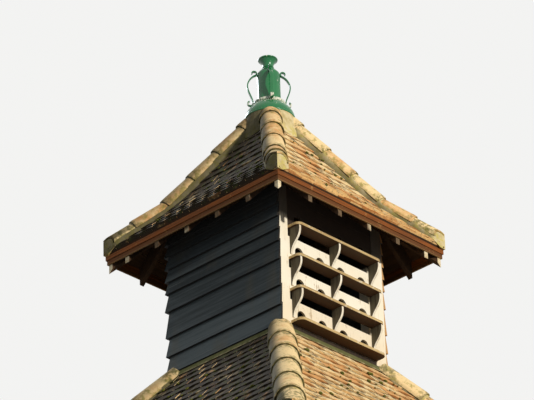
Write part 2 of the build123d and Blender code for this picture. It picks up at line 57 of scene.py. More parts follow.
SIDES = {"front": 0, "right": 90, "back": 180, "left": 270}

# Places and main sizes, read from the frame
LOWER_HALF = -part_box("lower_tiles_front")[0].y
TOWER_HALF = -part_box("front_posts")[0].x
FACE_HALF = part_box("sill_board")[1].x
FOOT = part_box("left_wall")[0].z
WALL_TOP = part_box("left_wall")[1].z
FIRST_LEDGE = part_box("ledge_1")[0].z
TOP_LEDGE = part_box("ledge_4")[0].z
EAVES_HALF = -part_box("roof_tiles_front")[0].y
EAVES_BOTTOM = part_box("roof_tiles_front")[0].z
RAFTER_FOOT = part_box("rafters")[1].x
FASCIA_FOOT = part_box("fascia")[0].z
FINIAL_POST_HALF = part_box("finial_post")[1].x
FINIAL_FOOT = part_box("finial_bedding")[1].z
BAND_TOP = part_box("finial_body")[0].z
CUP_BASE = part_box("finial_cup")[0].z
CUP_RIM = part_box("finial_cup")[1].z
CUP_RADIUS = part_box("finial_cup")[1].x

# Pitches, bend and thicknesses of the roofs, which boxes don't give
LOWER_PITCH = radians(52.0)
SPROCKET_PITCH = radians(45.0)
ROOF_PITCH = radians(57.3)
SPROCKET_RUN = 0.430
BELL_RADIUS = 1.300
TILE_COAT = 0.040
BOARDING = 0.020

# Heights that follow from them
KNEE_OUT = EAVES_HALF - SPROCKET_RUN
EAVES_TOP = EAVES_BOTTOM + TILE_COAT / cos(SPROCKET_PITCH)
KNEE = EAVES_TOP + SPROCKET_RUN * tan(SPROCKET_PITCH)
PEAK = KNEE + KNEE_OUT * tan(ROOF_PITCH)
LOWER_EAVES_TOP = TILE_COAT / cos(LOWER_PITCH)


# Settings that a user may change


def shade(red, green, blue):
    """A colour given as it looks on a screen, 0 to 255, as Blender's linear values."""
    parts = (level / 255 for level in (red, green, blue))
    return tuple(((part + 0.055) / 1.055) ** 2.4 if part > 0.04 else part / 12.92 for part in parts)


def size(name, description, default):
    """A length that a user may set, in metres."""
    return FloatProperty(
        name=name, description=description, default=default, min=0.0, subtype="DISTANCE", unit="LENGTH"
    )


def tint(name, description, default):
    """A colour that a user may set."""
    return FloatVectorProperty(
        name=name, description=description, default=default, size=3, min=0, max=1, subtype="COLOR"
    )


def share(name, description, default):
    """A plain number from 0 to 1 that a user may set."""
    return FloatProperty(
        name=name, description=description, default=default, min=0.0, max=1.0, subtype="FACTOR"
    )


class DovecoteTiles(bpy.types.PropertyGroup):
    """Plain clay tiles and half-round hip tiles."""

    width: size("Tile width", "Width of one plain tile", 0.165)
    joint: size("Side joint", "Gap between two tiles of a course", 0.004)
    gauge: size("Gauge", "Height of each course that shows", 0.130)
    length: size("Tile length", "Whole length of a plain tile", 0.290)
    thickness: size("Tile thickness", "Thickness of a plain tile", 0.0125)
    wander: size("Wander", "How far a tile lies out of true", 0.0025)
    camber: size("Camber", "How far the middle of a tile stands above its edges", 0.006)
    hip_wall: size("Hip tile wall", "Thickness of a half-round hip tile", 0.015)
    hip_lap: size("Hip tile lap", "How far a hip tile runs under the next", 0.060)
    seed: IntProperty(name="Seed", description="Draws the places of the tiles", default=7, min=0)
    pale: tint("Pale clay", "Bleached and lichened clay", shade(250, 220, 164))
    warm: tint("Warm clay", "Clean clay", shade(224, 166, 104))
    dark: tint("Sooty clay", "Stained clay", shade(84, 58, 36))
    moss: tint("Moss", "Moss and algae", shade(74, 80, 34))


class DovecoteBoards(bpy.types.PropertyGroup):
    """Weatherboards, painted boards and roof timbers."""

    butt: size("Butt", "Thickness of a weatherboard at its lower edge", 0.029)
    butt_out: size("Butt face", "How far that edge stands out from the posts", 0.0305)
    lap: size("Lap", "How far a weatherboard runs up behind the next", 0.030)
    oversail: size("Oversail", "How far the left boards stand past the painted post", 0.026)
    worn_edge: size("Worn edge", "Rounding of the corners of timbers", 0.003)
    hole_spacing: size("Hole spacing", "From the middle of one hole to the next", 0.291)
    hole_width: size("Hole width", "Width of an arched hole", 0.116)
    hole_height: size("Hole height", "Height of an arched hole", 0.152)
    slot: size("Slot", "Height left open under each ledge", 0.078)
    slate: tint("Weathered grey", "Grey boards", shade(86, 94, 96))
    slate_dark: tint("Dark grey", "Wet streaks in the grey boards", shade(40, 46, 48))
    cream: tint("Cream paint", "Paint of the pigeon-hole face", shade(248, 240, 220))
    bare: tint("Bare wood", "Wood where paint has gone", shade(176, 148, 108))
    tan: tint("Ledge wood", "Wood of the ledges", shade(206, 180, 128))
    soffit: tint("Soffit wood", "Boards and rafters under the eaves", shade(74, 52, 32))
    fascia: tint("Fascia wood", "Stained fascia boards", shade(138, 74, 18))


class DovecoteFinial(bpy.types.PropertyGroup):
    """Cast finial and its scrolls."""

    skirt: size("Skirt", "Radius of the skirt over its lowest roll", 0.252)
    collar: size("Collar", "Radius of the band on top of the skirt", 0.160)
    belly: size("Belly", "Radius of the body", 0.119)
    shoulder_rise: size("Shoulder rise", "Height of the straight part of the body", 0.323)
    bend: size("Bend", "Radius of the bend over the shoulder", 0.053)
    neck: size("Neck", "Radius of the neck and of the foot of the cup", 0.054)
    bead: size("Bead", "Height of the rolls round the finial", 0.012)
    iron_width: size("Scroll width", "Width of the scroll iron", 0.034)
    iron_thick: size("Scroll thickness", "Thickness of the scroll iron", 0.012)
    top_curl: size("Top curl", "Radius of the curl at the head of a scroll", 0.026)
    foot_curl: size("Foot curl", "Radius of the curl at the foot of a scroll", 0.028)
    segments: IntProperty(name="Segments", description="Faces round the finial", default=96, min=24)
    paint: tint("Green paint", "Gloss paint of the finial", shade(22, 112, 62))
    rust: tint("Rust", "Rust where the paint has gone", shade(150, 84, 62))
    lime: tint("Splashes", "White splashes on the paint", shade(238, 234, 216))


class DovecoteStage(bpy.types.PropertyGroup):
    """Floor, lamps and camera."""

    lens: FloatProperty(
        name="Lens", description="Focal length, mm", default=226.25, min=20, unit="CAMERA"
    )
    key: FloatProperty(name="Key", description="Strength of the key lamp", default=2.9, min=0)
    fill: share("Fill", "Strength of the light from all round", 0.34)
    key_colour: tint("Key colour", "Colour of the key lamp", (1.0, 0.945, 0.85))
    fill_colour: tint("Fill colour", "Colour of the light from all round", (0.86, 0.93, 1.0))
    pale: tint("Background", "Colour of floor and background", (0.80, 0.80, 0.79))


class DovecoteSettings(bpy.types.PropertyGroup):
    """All settings of the turret."""

    tiles: PointerProperty(name="Tiles", description="Roof tiles", type=DovecoteTiles)
    boards: PointerProperty(name="Boards", description="Boards and timbers", type=DovecoteBoards)
    finial: PointerProperty(name="Finial", description="Finial and scrolls", type=DovecoteFinial)
    stage: PointerProperty(name="Stage", description="Floor, lamps and camera", type=DovecoteStage)


# Shader expressions


class Wire:
    """An output socket that takes part in Python expressions. Each operator adds its node."""

    def __init__(self, recipe, socket):
        self.recipe = recipe
        self.socket = socket

    def join(self, operation, first, second):
        """Math on numbers, and Vector Math where one side is a vector or a colour."""
        kind = "ShaderNodeMath"
        if self.recipe.is_vector(first) or self.recipe.is_vector(second):
            kind = "ShaderNodeVectorMath"
            first, second = ((v, v, v) if isinstance(v, (int, float)) else v for v in (first, second))
        return self.recipe.node(kind, {"operation": operation}, {0: first, 1: second})

    def __add__(self, other):
        return self.join("ADD", self, other)

    def __radd__(self, other):
        return self.join("ADD", other, self)

    def __sub__(self, other):
        return self.join("SUBTRACT", self, other)

    def __rsub__(self, other):
        return self.join("SUBTRACT", other, self)

    def __mul__(self, other):
        return self.join("MULTIPLY", self, other)

    def __rmul__(self, other):
        return self.join("MULTIPLY", other, self)

    def over(self, other):
        """The greater of two values."""
        return self.join("MAXIMUM", self, other)

    def size(self):
        """The value without its sign."""
        return self.over(-1 * self)

    def step(self, low, high):
        """0 below low, 1 above high, smooth between; falls instead where high is under low."""
        inputs = {"Value": self, "From Min": low, "From Max": high}
        return self.recipe.node("ShaderNodeMapRange", {"interpolation_type": "SMOOTHSTEP"}, inputs)


class Recipe:
    """The node tree of a material or of the world."""

    def __init__(self, owner):
        owner.use_nodes = True
        self.tree = owner.node_tree
        self.tree.nodes.clear()

    def is_vector(self, value):
        """Whether a socket or a plain value is a vector or a colour."""
        if isinstance(value, Wire):
            return value.socket.type in {"VECTOR", "RGBA"}
        return not isinstance(value, (int, float))

    def node(self, kind, settings=None, inputs=None, output=0):
        """One node: its settings first, then the values or links of its sockets."""
        made = self.tree.nodes.new(kind)
        for name, value in (settings or {}).items():
            setattr(made, name, value)
        for name, value in (inputs or {}).items():
            socket = made.inputs[name]
            if isinstance(value, Wire):
                self.tree.links.new(value.socket, socket)
            elif socket.type == "RGBA" and len(value) == 3:
                socket.default_value = (*value, 1.0)
            else:
                socket.default_value = value
        return Wire(self, made.outputs[output]) if made.outputs else None

    def mix(self, factor, first, second):
        """Blends two colours."""
        return self.node("ShaderNodeMix", {"data_type": "RGBA"}, {0: factor, 6: first, 7: second}, 2)

    def coats(self, base, *coats):
        """A base colour under coats of other colours, each with its mask, from the first to the last."""
        for mask, colour in coats:
            base = self.mix(mask, base, colour)
        return base

    def noise(self, place, scale, detail=3.0, roughness=0.55):
        """Cloudy noise from 0 to 1."""
        inputs = {"Vector": place, "Scale": scale, "Detail": detail, "Roughness": roughness}
        return self.node("ShaderNodeTexNoise", {}, inputs)

    def streaks(self, place, stretch, roughness=0.65, detail=5.0):
        """Noise drawn out along the axes where the stretch is small."""
        return self.noise(place * stretch, 1.0, detail, roughness)

    def place(self):
        """The point in the object's own frame, in metres."""
        return self.node("ShaderNodeTexCoord", {}, {}, "Object")

    def run(self):
        """Distances along and across the board or tile."""
        return self.node("ShaderNodeUVMap", {"uv_map": "grain"})

    def grain(self):
        """Those distances, shifted from piece to piece."""
        return self.run() + self.tone() * (31.0, 17.0, 7.0)

    def tone(self):
        """The number that each board or tile drew."""
        return self.node("ShaderNodeAttribute", {"attribute_name": "tone"}, {}, "Fac")

    def part(self, vector, axis):
        """One of the three parts of a vector."""
        return self.node("ShaderNodeSeparateXYZ", {}, {"Vector": vector}, axis)

    def facing(self, axis):
        """How far the surface faces along an axis, from -1 to 1."""
        return self.part(self.node("ShaderNodeNewGeometry", {}, {}, "Normal"), axis)

    def faces_down(self):
        """1 on undersides, 0 elsewhere."""
        return self.facing("Z").step(-0.3, -0.8)

    def seen(self):
        """1 for rays that show the background, and 0 for the light that falls on the object."""
        kinds = ("Is Camera Ray", "Is Glossy Ray", "Is Transmission Ray")
        camera, gloss, glass = (self.node("ShaderNodeLightPath", {}, {}, kind) for kind in kinds)
        return camera.over(gloss).over(glass)

    def surface(self, colour, roughness, height, depth, **constants):
        """The finished surface, with relief of a height from 0 to 1 and a depth in metres."""
        relief = self.node("ShaderNodeBump", {}, {"Strength": 1.0, "Distance": depth, "Height": height})
        inputs = {"Base Color": colour, "Roughness": roughness, "Normal": relief}
        inputs.update({name.replace("_", " "): value for name, value in constants.items()})
        self.show(self.node("ShaderNodeBsdfPrincipled", {}, inputs))

    def show(self, shader, output="ShaderNodeOutputMaterial"):
        """Joins a shader to the output of the material or the world."""
        self.node(output, {}, {"Surface": shader})


# Materials


def finish(name, build):
    """The material of that name, made on first use."""
    found = bpy.data.materials.get(name)
    if found is None:
        found = bpy.data.materials.new(name)
        build(Recipe(found), bpy.context.scene.dovecote)
    return found


def sunless(recipe):
    """1 on slopes that face left, 0 on those that face the front or the right: the side where shade is
    painted.
    """
    return (recipe.facing("X") * 0.6 - recipe.facing("Y") * 0.15).step(0.0, -0.35)


def clay(recipe, settings):
    """Plain clay tiles: warm and pale clay by tile, soot, painted shade under the tails, painted shade
    and moss on the left.
    """
    tiles = settings.tiles
    place = recipe.place()
    tone = recipe.tone()
    # The side turned from the light, where shade is painted and moss grows.
    shade_side = sunless(recipe)
    bleached = (tone + recipe.noise(place, 5.0, 4.0) * 0.9).step(0.45, 1.15)
    soot = (recipe.noise(place, 16.0, 5.0, 0.65) + tone * 0.22).step(0.62, 0.80)
    speck = recipe.noise(place, 70.0, 2.0, 0.7).step(0.52, 0.70)
    # Painted shade in the gaps under the tails of the course above, broken into dashes.
    tail_gap_shade = recipe.part(recipe.run(), "Y").step(0.102, 0.116)
    broken = recipe.noise(place * (1.0, 1.0, 2.0), 9.0, 3.0, 0.7).step(0.34, 0.48)
    butt = recipe.facing("Z").step(0.05, -0.2)
    worn = (tone + recipe.noise(place, 30.0, 3.0) * 0.8).step(0.45, 1.2)
    # Patches of painted shade on the slopes that face left.
    painted_shade = (recipe.noise(place, 7.0, 5.0, 0.6) + shade_side * 0.42).step(0.62, 0.86)
    growth = (recipe.noise(place, 11.0, 4.0, 0.7) + shade_side * 0.10).step(0.62, 0.74)
    colour = recipe.coats(
        recipe.mix(bleached, tiles.warm, tiles.pale),
        (soot * 0.75, tiles.dark),
        (speck * 0.45, tiles.dark),
        (tail_gap_shade * broken * 0.9, shade(48, 30, 16)),
        (butt * 0.85, recipe.mix(worn, shade(170, 110, 56), shade(240, 198, 132))),
        (painted_shade * shade_side, shade(50, 40, 27)),
        (growth * 0.7, tiles.moss),
    )
    height = recipe.noise(place, 90.0, 4.0, 0.7) + recipe.noise(place, 24.0, 3.0)
    recipe.surface(colour, 0.92, height, 0.0022, Specular_IOR_Level=0.25)


def hip_clay(recipe, settings):
    """Half-round tiles: bleached crowns, lichen on the flanks, moss at the laps, painted shade on sides
    turned from the light.
    """
    tiles = settings.tiles
    place = recipe.place()
    crown = recipe.facing("Z")
    run = recipe.part(recipe.run(), "Y")
    lit = recipe.facing("X") * 0.6 - recipe.facing("Y") * 0.2 + crown * 0.25
    bleached = (recipe.noise(place, 9.0, 4.0) + recipe.tone() * 0.5).step(0.28, 0.80)
    pits = recipe.noise(place, 48.0, 4.0, 0.7).step(0.55, 0.72)
    lichen = (recipe.noise(place, 14.0, 4.0, 0.65) - crown * 0.16).step(0.44, 0.60)
    laps = (run.step(0.10, 0.0) + run.step(0.30, 0.40)) * recipe.noise(place, 26.0, 3.0).step(0.40, 0.62)
    colour = recipe.coats(
        recipe.mix(bleached, tiles.warm, tiles.pale),
        (pits * 0.35, tiles.dark),
        (lichen * 0.75, shade(156, 144, 70)),
        (laps * 0.7, tiles.moss),
        # Painted shade on the sides turned from the light.
        (lit.step(-0.15, -0.5) * 0.88, shade(44, 44, 24)),
    )
    height = recipe.noise(place, 60.0, 4.0, 0.7) + lichen * 0.4
    recipe.surface(colour, 0.9, height, 0.003, Specular_IOR_Level=0.25)


def mortar(recipe, settings):
    """Lime mortar under the hip tiles and the finial, with growth lower down and painted shade on faces
    turned left.
    """
    place = recipe.place()
    blotches = recipe.noise(place, 12.0, 4.0).step(0.35, 0.7)
    low = recipe.part(place, "Z").step(BAND_TOP - 0.30, BAND_TOP - 0.45)
    growth = recipe.noise(place, 16.0, 4.0, 0.65).step(0.42, 0.62) * low
    colour = recipe.coats(
        recipe.mix(blotches, shade(224, 206, 162), shade(186, 166, 112)),
        (growth * 0.8, shade(206, 190, 100)),
        # Painted shade on the faces turned to the left.
        (sunless(recipe) * 0.8, shade(46, 46, 28)),
    )
    recipe.surface(colour, 0.95, recipe.noise(place, 40.0, 5.0, 0.7), 0.006, Specular_IOR_Level=0.2)


def slate_boards(recipe, settings):
    """Grey weatherboards with streaks along the grain and end grain at the front; painted shade under the
    eaves, on undersides and on the left ends.
    """
    boards = settings.boards
    grain = recipe.grain()
    place = recipe.place()
    streaks = recipe.streaks(grain, (1.2, 38.0, 1.0))
    fine = recipe.streaks(grain, (6.0, 260.0, 1.0), 0.55, 3.0)
    body = (streaks * 0.8 + recipe.tone() * 0.3).step(0.30, 0.80)
    wash = recipe.noise(place * (3.0, 3.0, 1.0), 1.6, 4.0).step(0.45, 0.75)
    # Painted shade towards the top, under the eaves.
    eaves_shade = recipe.part(place, "Z").step(WALL_TOP - 0.32, WALL_TOP - 0.05)
    scratch = recipe.streaks(grain, (0.9, 120.0, 1.0), 0.55, 2.0).step(0.70, 0.78)
    at_front = recipe.part(place, "Y").step(0.02 - TOWER_HALF, 0.01 - TOWER_HALF)
    # Front ends of the boards: tan on the right, dark on the left as painted shade.
    board_end = recipe.facing("Y").step(-0.7, -0.9) * at_front
    right_wall = recipe.part(place, "X").step(-0.1, 0.1)
    colour = recipe.coats(
        recipe.mix(body, boards.slate_dark, boards.slate),
        (wash * 0.35, shade(92, 84, 66)),
        (eaves_shade * 0.6, shade(52, 42, 30)),
        (scratch * 0.4, shade(150, 156, 152)),
        # Undersides of the boards darkened almost to black as painted shade.
        (recipe.faces_down(), shade(16, 14, 12)),
        (board_end, recipe.mix(right_wall, shade(30, 26, 22), shade(196, 150, 96))),
    )
    recipe.surface(colour, 0.82, (streaks + fine) * 0.6, 0.0022, Specular_IOR_Level=0.3)


def worn_paint(recipe, settings):
    """Cream paint with cracks and stains along the grain; sill, boards above the top ledge and tops of
    posts get painted shade.
    """
    boards = settings.boards
    place = recipe.place()
    rise = recipe.part(place, "Z")
    streaks = recipe.streaks(place, (34.0, 34.0, 1.6), 0.6)
    cracks = recipe.streaks(place, (150.0, 150.0, 5.0), 0.6, 3.0)
    fade = recipe.noise(place, 3.2, 4.0).step(0.35, 0.70)
    low = rise.step(FIRST_LEDGE + 0.60, FIRST_LEDGE)
    bare = (streaks * 0.7 + recipe.noise(place, 9.0, 4.0, 0.7) * 0.6).step(0.72, 0.84)
    stain = recipe.streaks(place, (7.0, 7.0, 1.5), 0.55, 3.0).step(0.58, 0.80)
    between_posts = recipe.part(place, "X").size().step(FACE_HALF + 0.001, FACE_HALF - 0.001)
    # Above the top ledge, under the eaves, and the sill under the lowest ledge: places where shade is
    # painted.
    head = rise.step(TOP_LEDGE, TOP_LEDGE + 0.030)
    sill = rise.step(FIRST_LEDGE, FIRST_LEDGE - 0.005)
    # Painted shadow of the eaves across the tops of the posts and boards.
    eaves_shadow = (rise + streaks * 0.06).step(TOP_LEDGE + 0.12, TOP_LEDGE + 0.20)
    # Streaked dark brown that stands as painted shade there.
    painted_shade_brown = recipe.mix(streaks.step(0.3, 0.7), shade(34, 24, 15), shade(60, 46, 32))
    colour = recipe.coats(
        recipe.mix(fade * 0.35, boards.cream, shade(242, 226, 192)),
        (low * 0.4, shade(226, 196, 152)),
        (bare * 0.75, boards.bare),
        (cracks.step(0.62, 0.74) * 0.35, shade(120, 98, 66)),
        (stain * 0.25, shade(200, 164, 112)),
        (head.over(sill) * between_posts, painted_shade_brown),
        (eaves_shadow * 0.85, shade(66, 52, 40)),
    )
    height = cracks * 0.7 + streaks * 0.5 - bare * 0.4
    recipe.surface(colour, 0.7, height, 0.0012, Specular_IOR_Level=0.35)


def ledge_wood(recipe, settings):
    """Worn ledge boards: pale edges and tops, undersides darkened brown as painted shade."""
    place = recipe.place()
    streaks = recipe.streaks(place, (2.0, 46.0, 60.0))
    lime = recipe.noise(place, 22.0, 4.0, 0.7).step(0.56, 0.66)
    # Dark brown for the undersides, as painted shade.
    brown = recipe.mix(streaks.step(0.3, 0.7), shade(44, 24, 12), shade(72, 42, 20))
    colour = recipe.coats(
        recipe.mix(streaks.step(0.35, 0.72), settings.boards.tan, shade(160, 128, 82)),
        (lime * 0.6, shade(226, 220, 200)),
        (recipe.faces_down() * 0.95, brown),
    )
    height = streaks + recipe.noise(place, 60.0, 3.0) * 0.4
    recipe.surface(colour, 0.8, height, 0.0015, Specular_IOR_Level=0.3)


def bracket_paint(recipe, settings):
    """Shaped brackets: flanks darkened to grey-brown as painted shade, cream front edges."""
    streaks = recipe.streaks(recipe.place(), (40.0, 40.0, 3.0), 0.6)
    edges = recipe.mix(streaks.step(0.4, 0.7) * 0.5, settings.boards.cream, settings.boards.bare)
    # Grey-brown for the flanks, as painted shade on the cream paint.
    flanks = recipe.mix(streaks.step(0.35, 0.7), shade(86, 78, 56), shade(50, 40, 26))
    colour = recipe.mix(recipe.facing("X").size().step(0.4, 0.8) * 0.95, edges, flanks)
    recipe.surface(colour, 0.75, streaks, 0.0012, Specular_IOR_Level=0.3)


def soffit_timber(recipe, settings):
    """Dark roof timbers; the cut feet of the rafters are paler, cream at the corners and in patches, as
    painted sunlight.
    """
    place = recipe.place()
    streaks = recipe.streaks(place, (22.0, 22.0, 22.0))
    x_out = recipe.part(place, "X").size()
    y_out = recipe.part(place, "Y").size()
    # The cut ends of the rafters, where sunlight is painted.
    foot = x_out.over(y_out).step(RAFTER_FOOT - 0.0015, RAFTER_FOOT - 0.0005)
    # Cream patches of painted sunlight, most of them at the corners.
    sunlit_patches = (x_out + y_out).step(1.9, 2.1).over(recipe.noise(place, 2.3, 2.0).step(0.56, 0.64) * 0.8)
    blotches = streaks.step(0.4, 0.7)
    # Paler brown-grey for the ends, as dimmer painted light; cream for the painted sunlight.
    dim_ends = recipe.mix(blotches, shade(112, 92, 68), shade(70, 54, 38))
    painted = recipe.mix(blotches, shade(236, 222, 188), shade(196, 170, 124))
    colour = recipe.coats(
        recipe.mix(streaks.step(0.35, 0.7), settings.boards.soffit, shade(50, 34, 20)),
        (foot, recipe.mix(sunlit_patches, dim_ends, painted)),
    )
    recipe.surface(colour, 0.85, streaks, 0.002, Specular_IOR_Level=0.25)


def soffit_boarding(recipe, settings):
    """Boards under the tiles, seen from below."""
    streaks = recipe.streaks(recipe.grain(), (1.5, 40.0, 1.0))
    colour = recipe.mix(streaks.step(0.35, 0.7), settings.boards.soffit, shade(52, 36, 22))
    recipe.surface(colour, 0.85, streaks, 0.0018, Specular_IOR_Level=0.25)


def plain_timber(recipe, settings):
    """Sawn timber of the frame inside."""
    streaks = recipe.streaks(recipe.place(), (20.0, 20.0, 20.0))
    colour = recipe.mix(streaks.step(0.35, 0.7), shade(150, 122, 86), shade(108, 84, 56))
    recipe.surface(colour, 0.85, streaks, 0.002, Specular_IOR_Level=0.25)


def fascia_stain(recipe, settings):
    """Stained fascia boards, darker below the step and pale along the lower lip."""
    place = recipe.place()
    rise = recipe.part(place, "Z")
    streaks = recipe.streaks(place, (2.0, 2.0, 60.0), 0.6)
    below_step = rise.step(FASCIA_FOOT + 0.049, FASCIA_FOOT + 0.047)
    lip = rise.step(FASCIA_FOOT + 0.007, FASCIA_FOOT + 0.005)
    wear = recipe.noise(place, 14.0, 4.0, 0.7).step(0.60, 0.72)
    colour = recipe.coats(
        recipe.mix(streaks.step(0.38, 0.7), settings.boards.fascia, shade(84, 46, 12)),
        (below_step * 0.7, shade(84, 52, 20)),
        (lip * 0.6, shade(150, 116, 70)),
        (wear * 0.4, shade(196, 152, 92)),
    )
    recipe.surface(colour, 0.75, streaks, 0.0015, Specular_IOR_Level=0.3)


def flashing(recipe, settings):
    """Lead and mortar round the foot of the walls, mossy in its upper half, with a dark line of painted
    shade under the boards.
    """
    place = recipe.place()
    rise = recipe.part(place, "Z")
    spots = recipe.noise(place, 20.0, 5.0, 0.65)
    moss = (spots * 0.05 + rise).step(FOOT - 0.055, FOOT - 0.020)
    # Painted shade in the crevice just under the boards.
    shade_under_boards = rise.step(FOOT - 0.012, FOOT - 0.004)
    colour = recipe.coats(
        recipe.mix(spots.step(0.35, 0.7), shade(206, 188, 146), shade(156, 138, 100)),
        (moss * 0.85, shade(72, 80, 32)),
        (shade_under_boards * 0.85, shade(40, 32, 20)),
    )
    recipe.surface(colour, 0.9, spots, 0.005, Specular_IOR_Level=0.3)


def green_iron(recipe, settings):
    """Green gloss paint with rust, dirt and white splashes, most of them at the collar band."""
    finial = settings.finial
    place = recipe.place()
    rise = recipe.part(place, "Z")
    fade = recipe.noise(place, 7.0, 4.0)
    grime = recipe.noise(place * (1.0, 1.0, 0.35), 26.0, 5.0, 0.65).step(0.58, 0.78)
    rust = recipe.noise(place, 34.0, 4.0, 0.7).step(0.70, 0.76)
    tops = recipe.facing("Z").step(0.1, 0.8)
    band = rise.step(BAND_TOP - 0.034, BAND_TOP - 0.028) * rise.step(BAND_TOP + 0.006, BAND_TOP)
    below = rise.step(BAND_TOP - 0.16, BAND_TOP - 0.03) * rise.step(BAND_TOP + 0.03, BAND_TOP)
    drops = recipe.noise(place * (1.0, 1.0, 0.25), 30.0, 4.0, 0.7)
    splash = (drops + tops * 0.10 + band * 0.16 + below * 0.06).step(0.66, 0.72)
    colour = recipe.coats(
        recipe.mix(fade.step(0.35, 0.75) * 0.5, finial.paint, shade(40, 132, 74)),
        (grime * 0.45, shade(22, 44, 26)),
        (rust * 0.85, finial.rust),
        (splash * 0.9, finial.lime),
    )
    rough = 0.26 + splash * 0.5 + grime * 0.25 + rust * 0.5
    height = fade * 0.6 + splash * 0.5 + rust * 0.5
    recipe.surface(colour, rough, height, 0.0015, Coat_Weight=0.15, Coat_Roughness=0.15)


def moss_growth(recipe, settings):
    """Cushions of moss and lichen."""
    place = recipe.place()
    clumps = recipe.noise(place, 60.0, 3.0).step(0.35, 0.7)
    colour = recipe.mix(clumps, shade(110, 108, 42), settings.tiles.moss)
    recipe.surface(colour, 1.0, recipe.noise(place, 300.0, 3.0, 0.8), 0.004, Specular_IOR_Level=0.1)


# Meshes


class Stock:
    """Points and faces of one joined mesh, with a tone for each face and grain for each point."""

    def __init__(self):
        self.points = []
        self.faces = []
        self.tones = []
        self.grain = []

    def add(self, points, faces, tone=0.5, grain=None):
        """Adds a closed solid."""
        first = len(self.points)
        self.points += [tuple(p) for p in points]
        self.faces += [[first + i for i in face] for face in faces]
        self.tones += [tone] * len(faces)
        self.grain += grain or [(p[0], p[2]) for p in points]

    def loft(self, loops, tone=0.5, grain=None, closed=False):
        """Adds the solid between loops of as many points each, capped at its ends or joined in a ring."""
        count = len(loops[0])
        faces = []
        for i in range(len(loops) if closed else len(loops) - 1):
            low, high = i * count, (i + 1) % len(loops) * count
            for j in range(count):
                k = (j + 1) % count
                faces.append([low + j, low + k, high + k, high + j])
        if not closed:
            last = (len(loops) - 1) * count
            faces.append(list(range(count))[::-1])
            faces.append([last + j for j in range(count)])
        self.add([p for loop in loops for p in loop], faces, tone, grain)

    def take(self, other, turn):
        """Adds all of another stock, turned."""
        first = len(self.points)
        self.points += [tuple(turn @ Vector(p)) for p in other.points]
        self.faces += [[first + i for i in face] for face in other.faces]
        self.tones += other.tones
        self.grain += other.grain

    def piece(self, name, slot, material, replaces=(), smooth=None):
        """The finished piece, riding on the turret."""
        mesh = bpy.data.meshes.new(name)
        mesh.from_pydata(self.points, [], self.faces)
        tones = mesh.attributes.new("tone", "FLOAT", "FACE")
        tones.data.foreach_set("value", self.tones)
        layer = mesh.uv_layers.new(name="grain")
        for loop in mesh.loops:
            layer.data[loop.index].uv = self.grain[loop.vertex_index]
        tidy_faces(mesh)
        mesh.materials.append(material)
        if smooth is not None:
            mesh.shade_smooth()
            mesh.set_sharp_from_angle(angle=smooth)
        piece = put(name, mesh)
        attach(piece, "root")
        if replaces:
            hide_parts(*replaces)
        return piece


def put(name, data):
    """A new object in the scene."""
    made = bpy.data.objects.new(name, data)
    bpy.context.scene.collection.objects.link(made)
    return made


def tidy_faces(mesh, weld=0.0):
    """Merges points as near to each other as weld, where given, and turns all faces outward."""
    shape = bmesh.new()
    shape.from_mesh(mesh)
    if weld:
        bmesh.ops.remove_doubles(shape, verts=shape.verts, dist=weld)
    bmesh.ops.recalc_face_normals(shape, faces=shape.faces)
    shape.to_mesh(mesh)
    shape.free()


def soften(piece, edge):
    """Wears the corners of a piece."""
    weld = piece.modifiers.new("Weld", "WELD")
    weld.merge_threshold = 0.00005
    bevel = piece.modifiers.new("Worn corners", "BEVEL")
    bevel.width = edge
    bevel.segments = 2
    bevel.limit_method = "ANGLE"
    bevel.angle_limit = radians(35)


def dress(node, material, edge=0.0):
    """Gives a carried-over part its material and, where asked, worn corners."""
    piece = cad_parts[node]
    piece.data.materials.clear()
    piece.data.materials.append(material)
    if edge:
        soften(piece, edge)


def turned(side):
    """The turn from the front to another side."""
    return Matrix.Rotation(radians(SIDES[side]), 3, "Z")


class Slope:
    """A roof slope in section: one or two straight runs with a bend between them."""

    def __init__(self, foot_out, foot_z, low_pitch, high_pitch=None, knee_run=0.0, radius=1.0):
        self.foot_out = foot_out
        self.foot_z = foot_z
        self.low = low_pitch
        self.radius = radius
        turn = (high_pitch or low_pitch) - low_pitch
        self.bend_start = knee_run / cos(low_pitch) - radius * tan(turn / 2) if turn else inf
        self.bend_length = radius * turn

    def at(self, run):
        """Distance from the axis, height and pitch at a distance up the slope."""
        straight = min(run, self.bend_start)
        out = self.foot_out - straight * cos(self.low)
        z = self.foot_z + straight * sin(self.low)
        if run <= self.bend_start:
            return out, z, self.low
        turned_by = min(run - self.bend_start, self.bend_length)
        pitch = self.low + turned_by / self.radius
        out -= self.radius * (sin(pitch) - sin(self.low))
        z += self.radius * (cos(self.low) - cos(pitch))
        rest = run - self.bend_start - turned_by
        return out - rest * cos(pitch), z + rest * sin(pitch), pitch

    def point(self, x, run, lift):
        """A point on the front slope, lifted square to it."""
        out, z, pitch = self.at(run)
        return Vector((x, -out - lift * sin(pitch), z + lift * cos(pitch)))

    def length(self, top_out):
        """Distance up the slope to a distance from the axis, found by halving."""
        low, high = 0.0, 10.0
        for _ in range(50):
            middle = (low + high) / 2
            if self.at(middle)[0] > top_out:
                low = middle
            else:
                high = middle
        return low


LOWER_SLOPE = Slope(LOWER_HALF, LOWER_EAVES_TOP, LOWER_PITCH)
UPPER_SLOPE = Slope(EAVES_HALF, EAVES_TOP, SPROCKET_PITCH, ROOF_PITCH, SPROCKET_RUN, BELL_RADIUS)


def clipped(outline, a, b, c):
    """The part of a flat outline where a x + b y <= c."""
    kept = []
    for (x0, y0), (x1, y1) in zip(outline, outline[1:] + outline[:1]):
        d0, d1 = a * x0 + b * y0 - c, a * x1 + b * y1 - c
        if d0 <= 0:
            kept.append((x0, y0))
        if d0 * d1 < 0:
            t = d0 / (d0 - d1)
            kept.append((x0 + t * (x1 - x0), y0 + t * (y1 - y0)))
    return kept


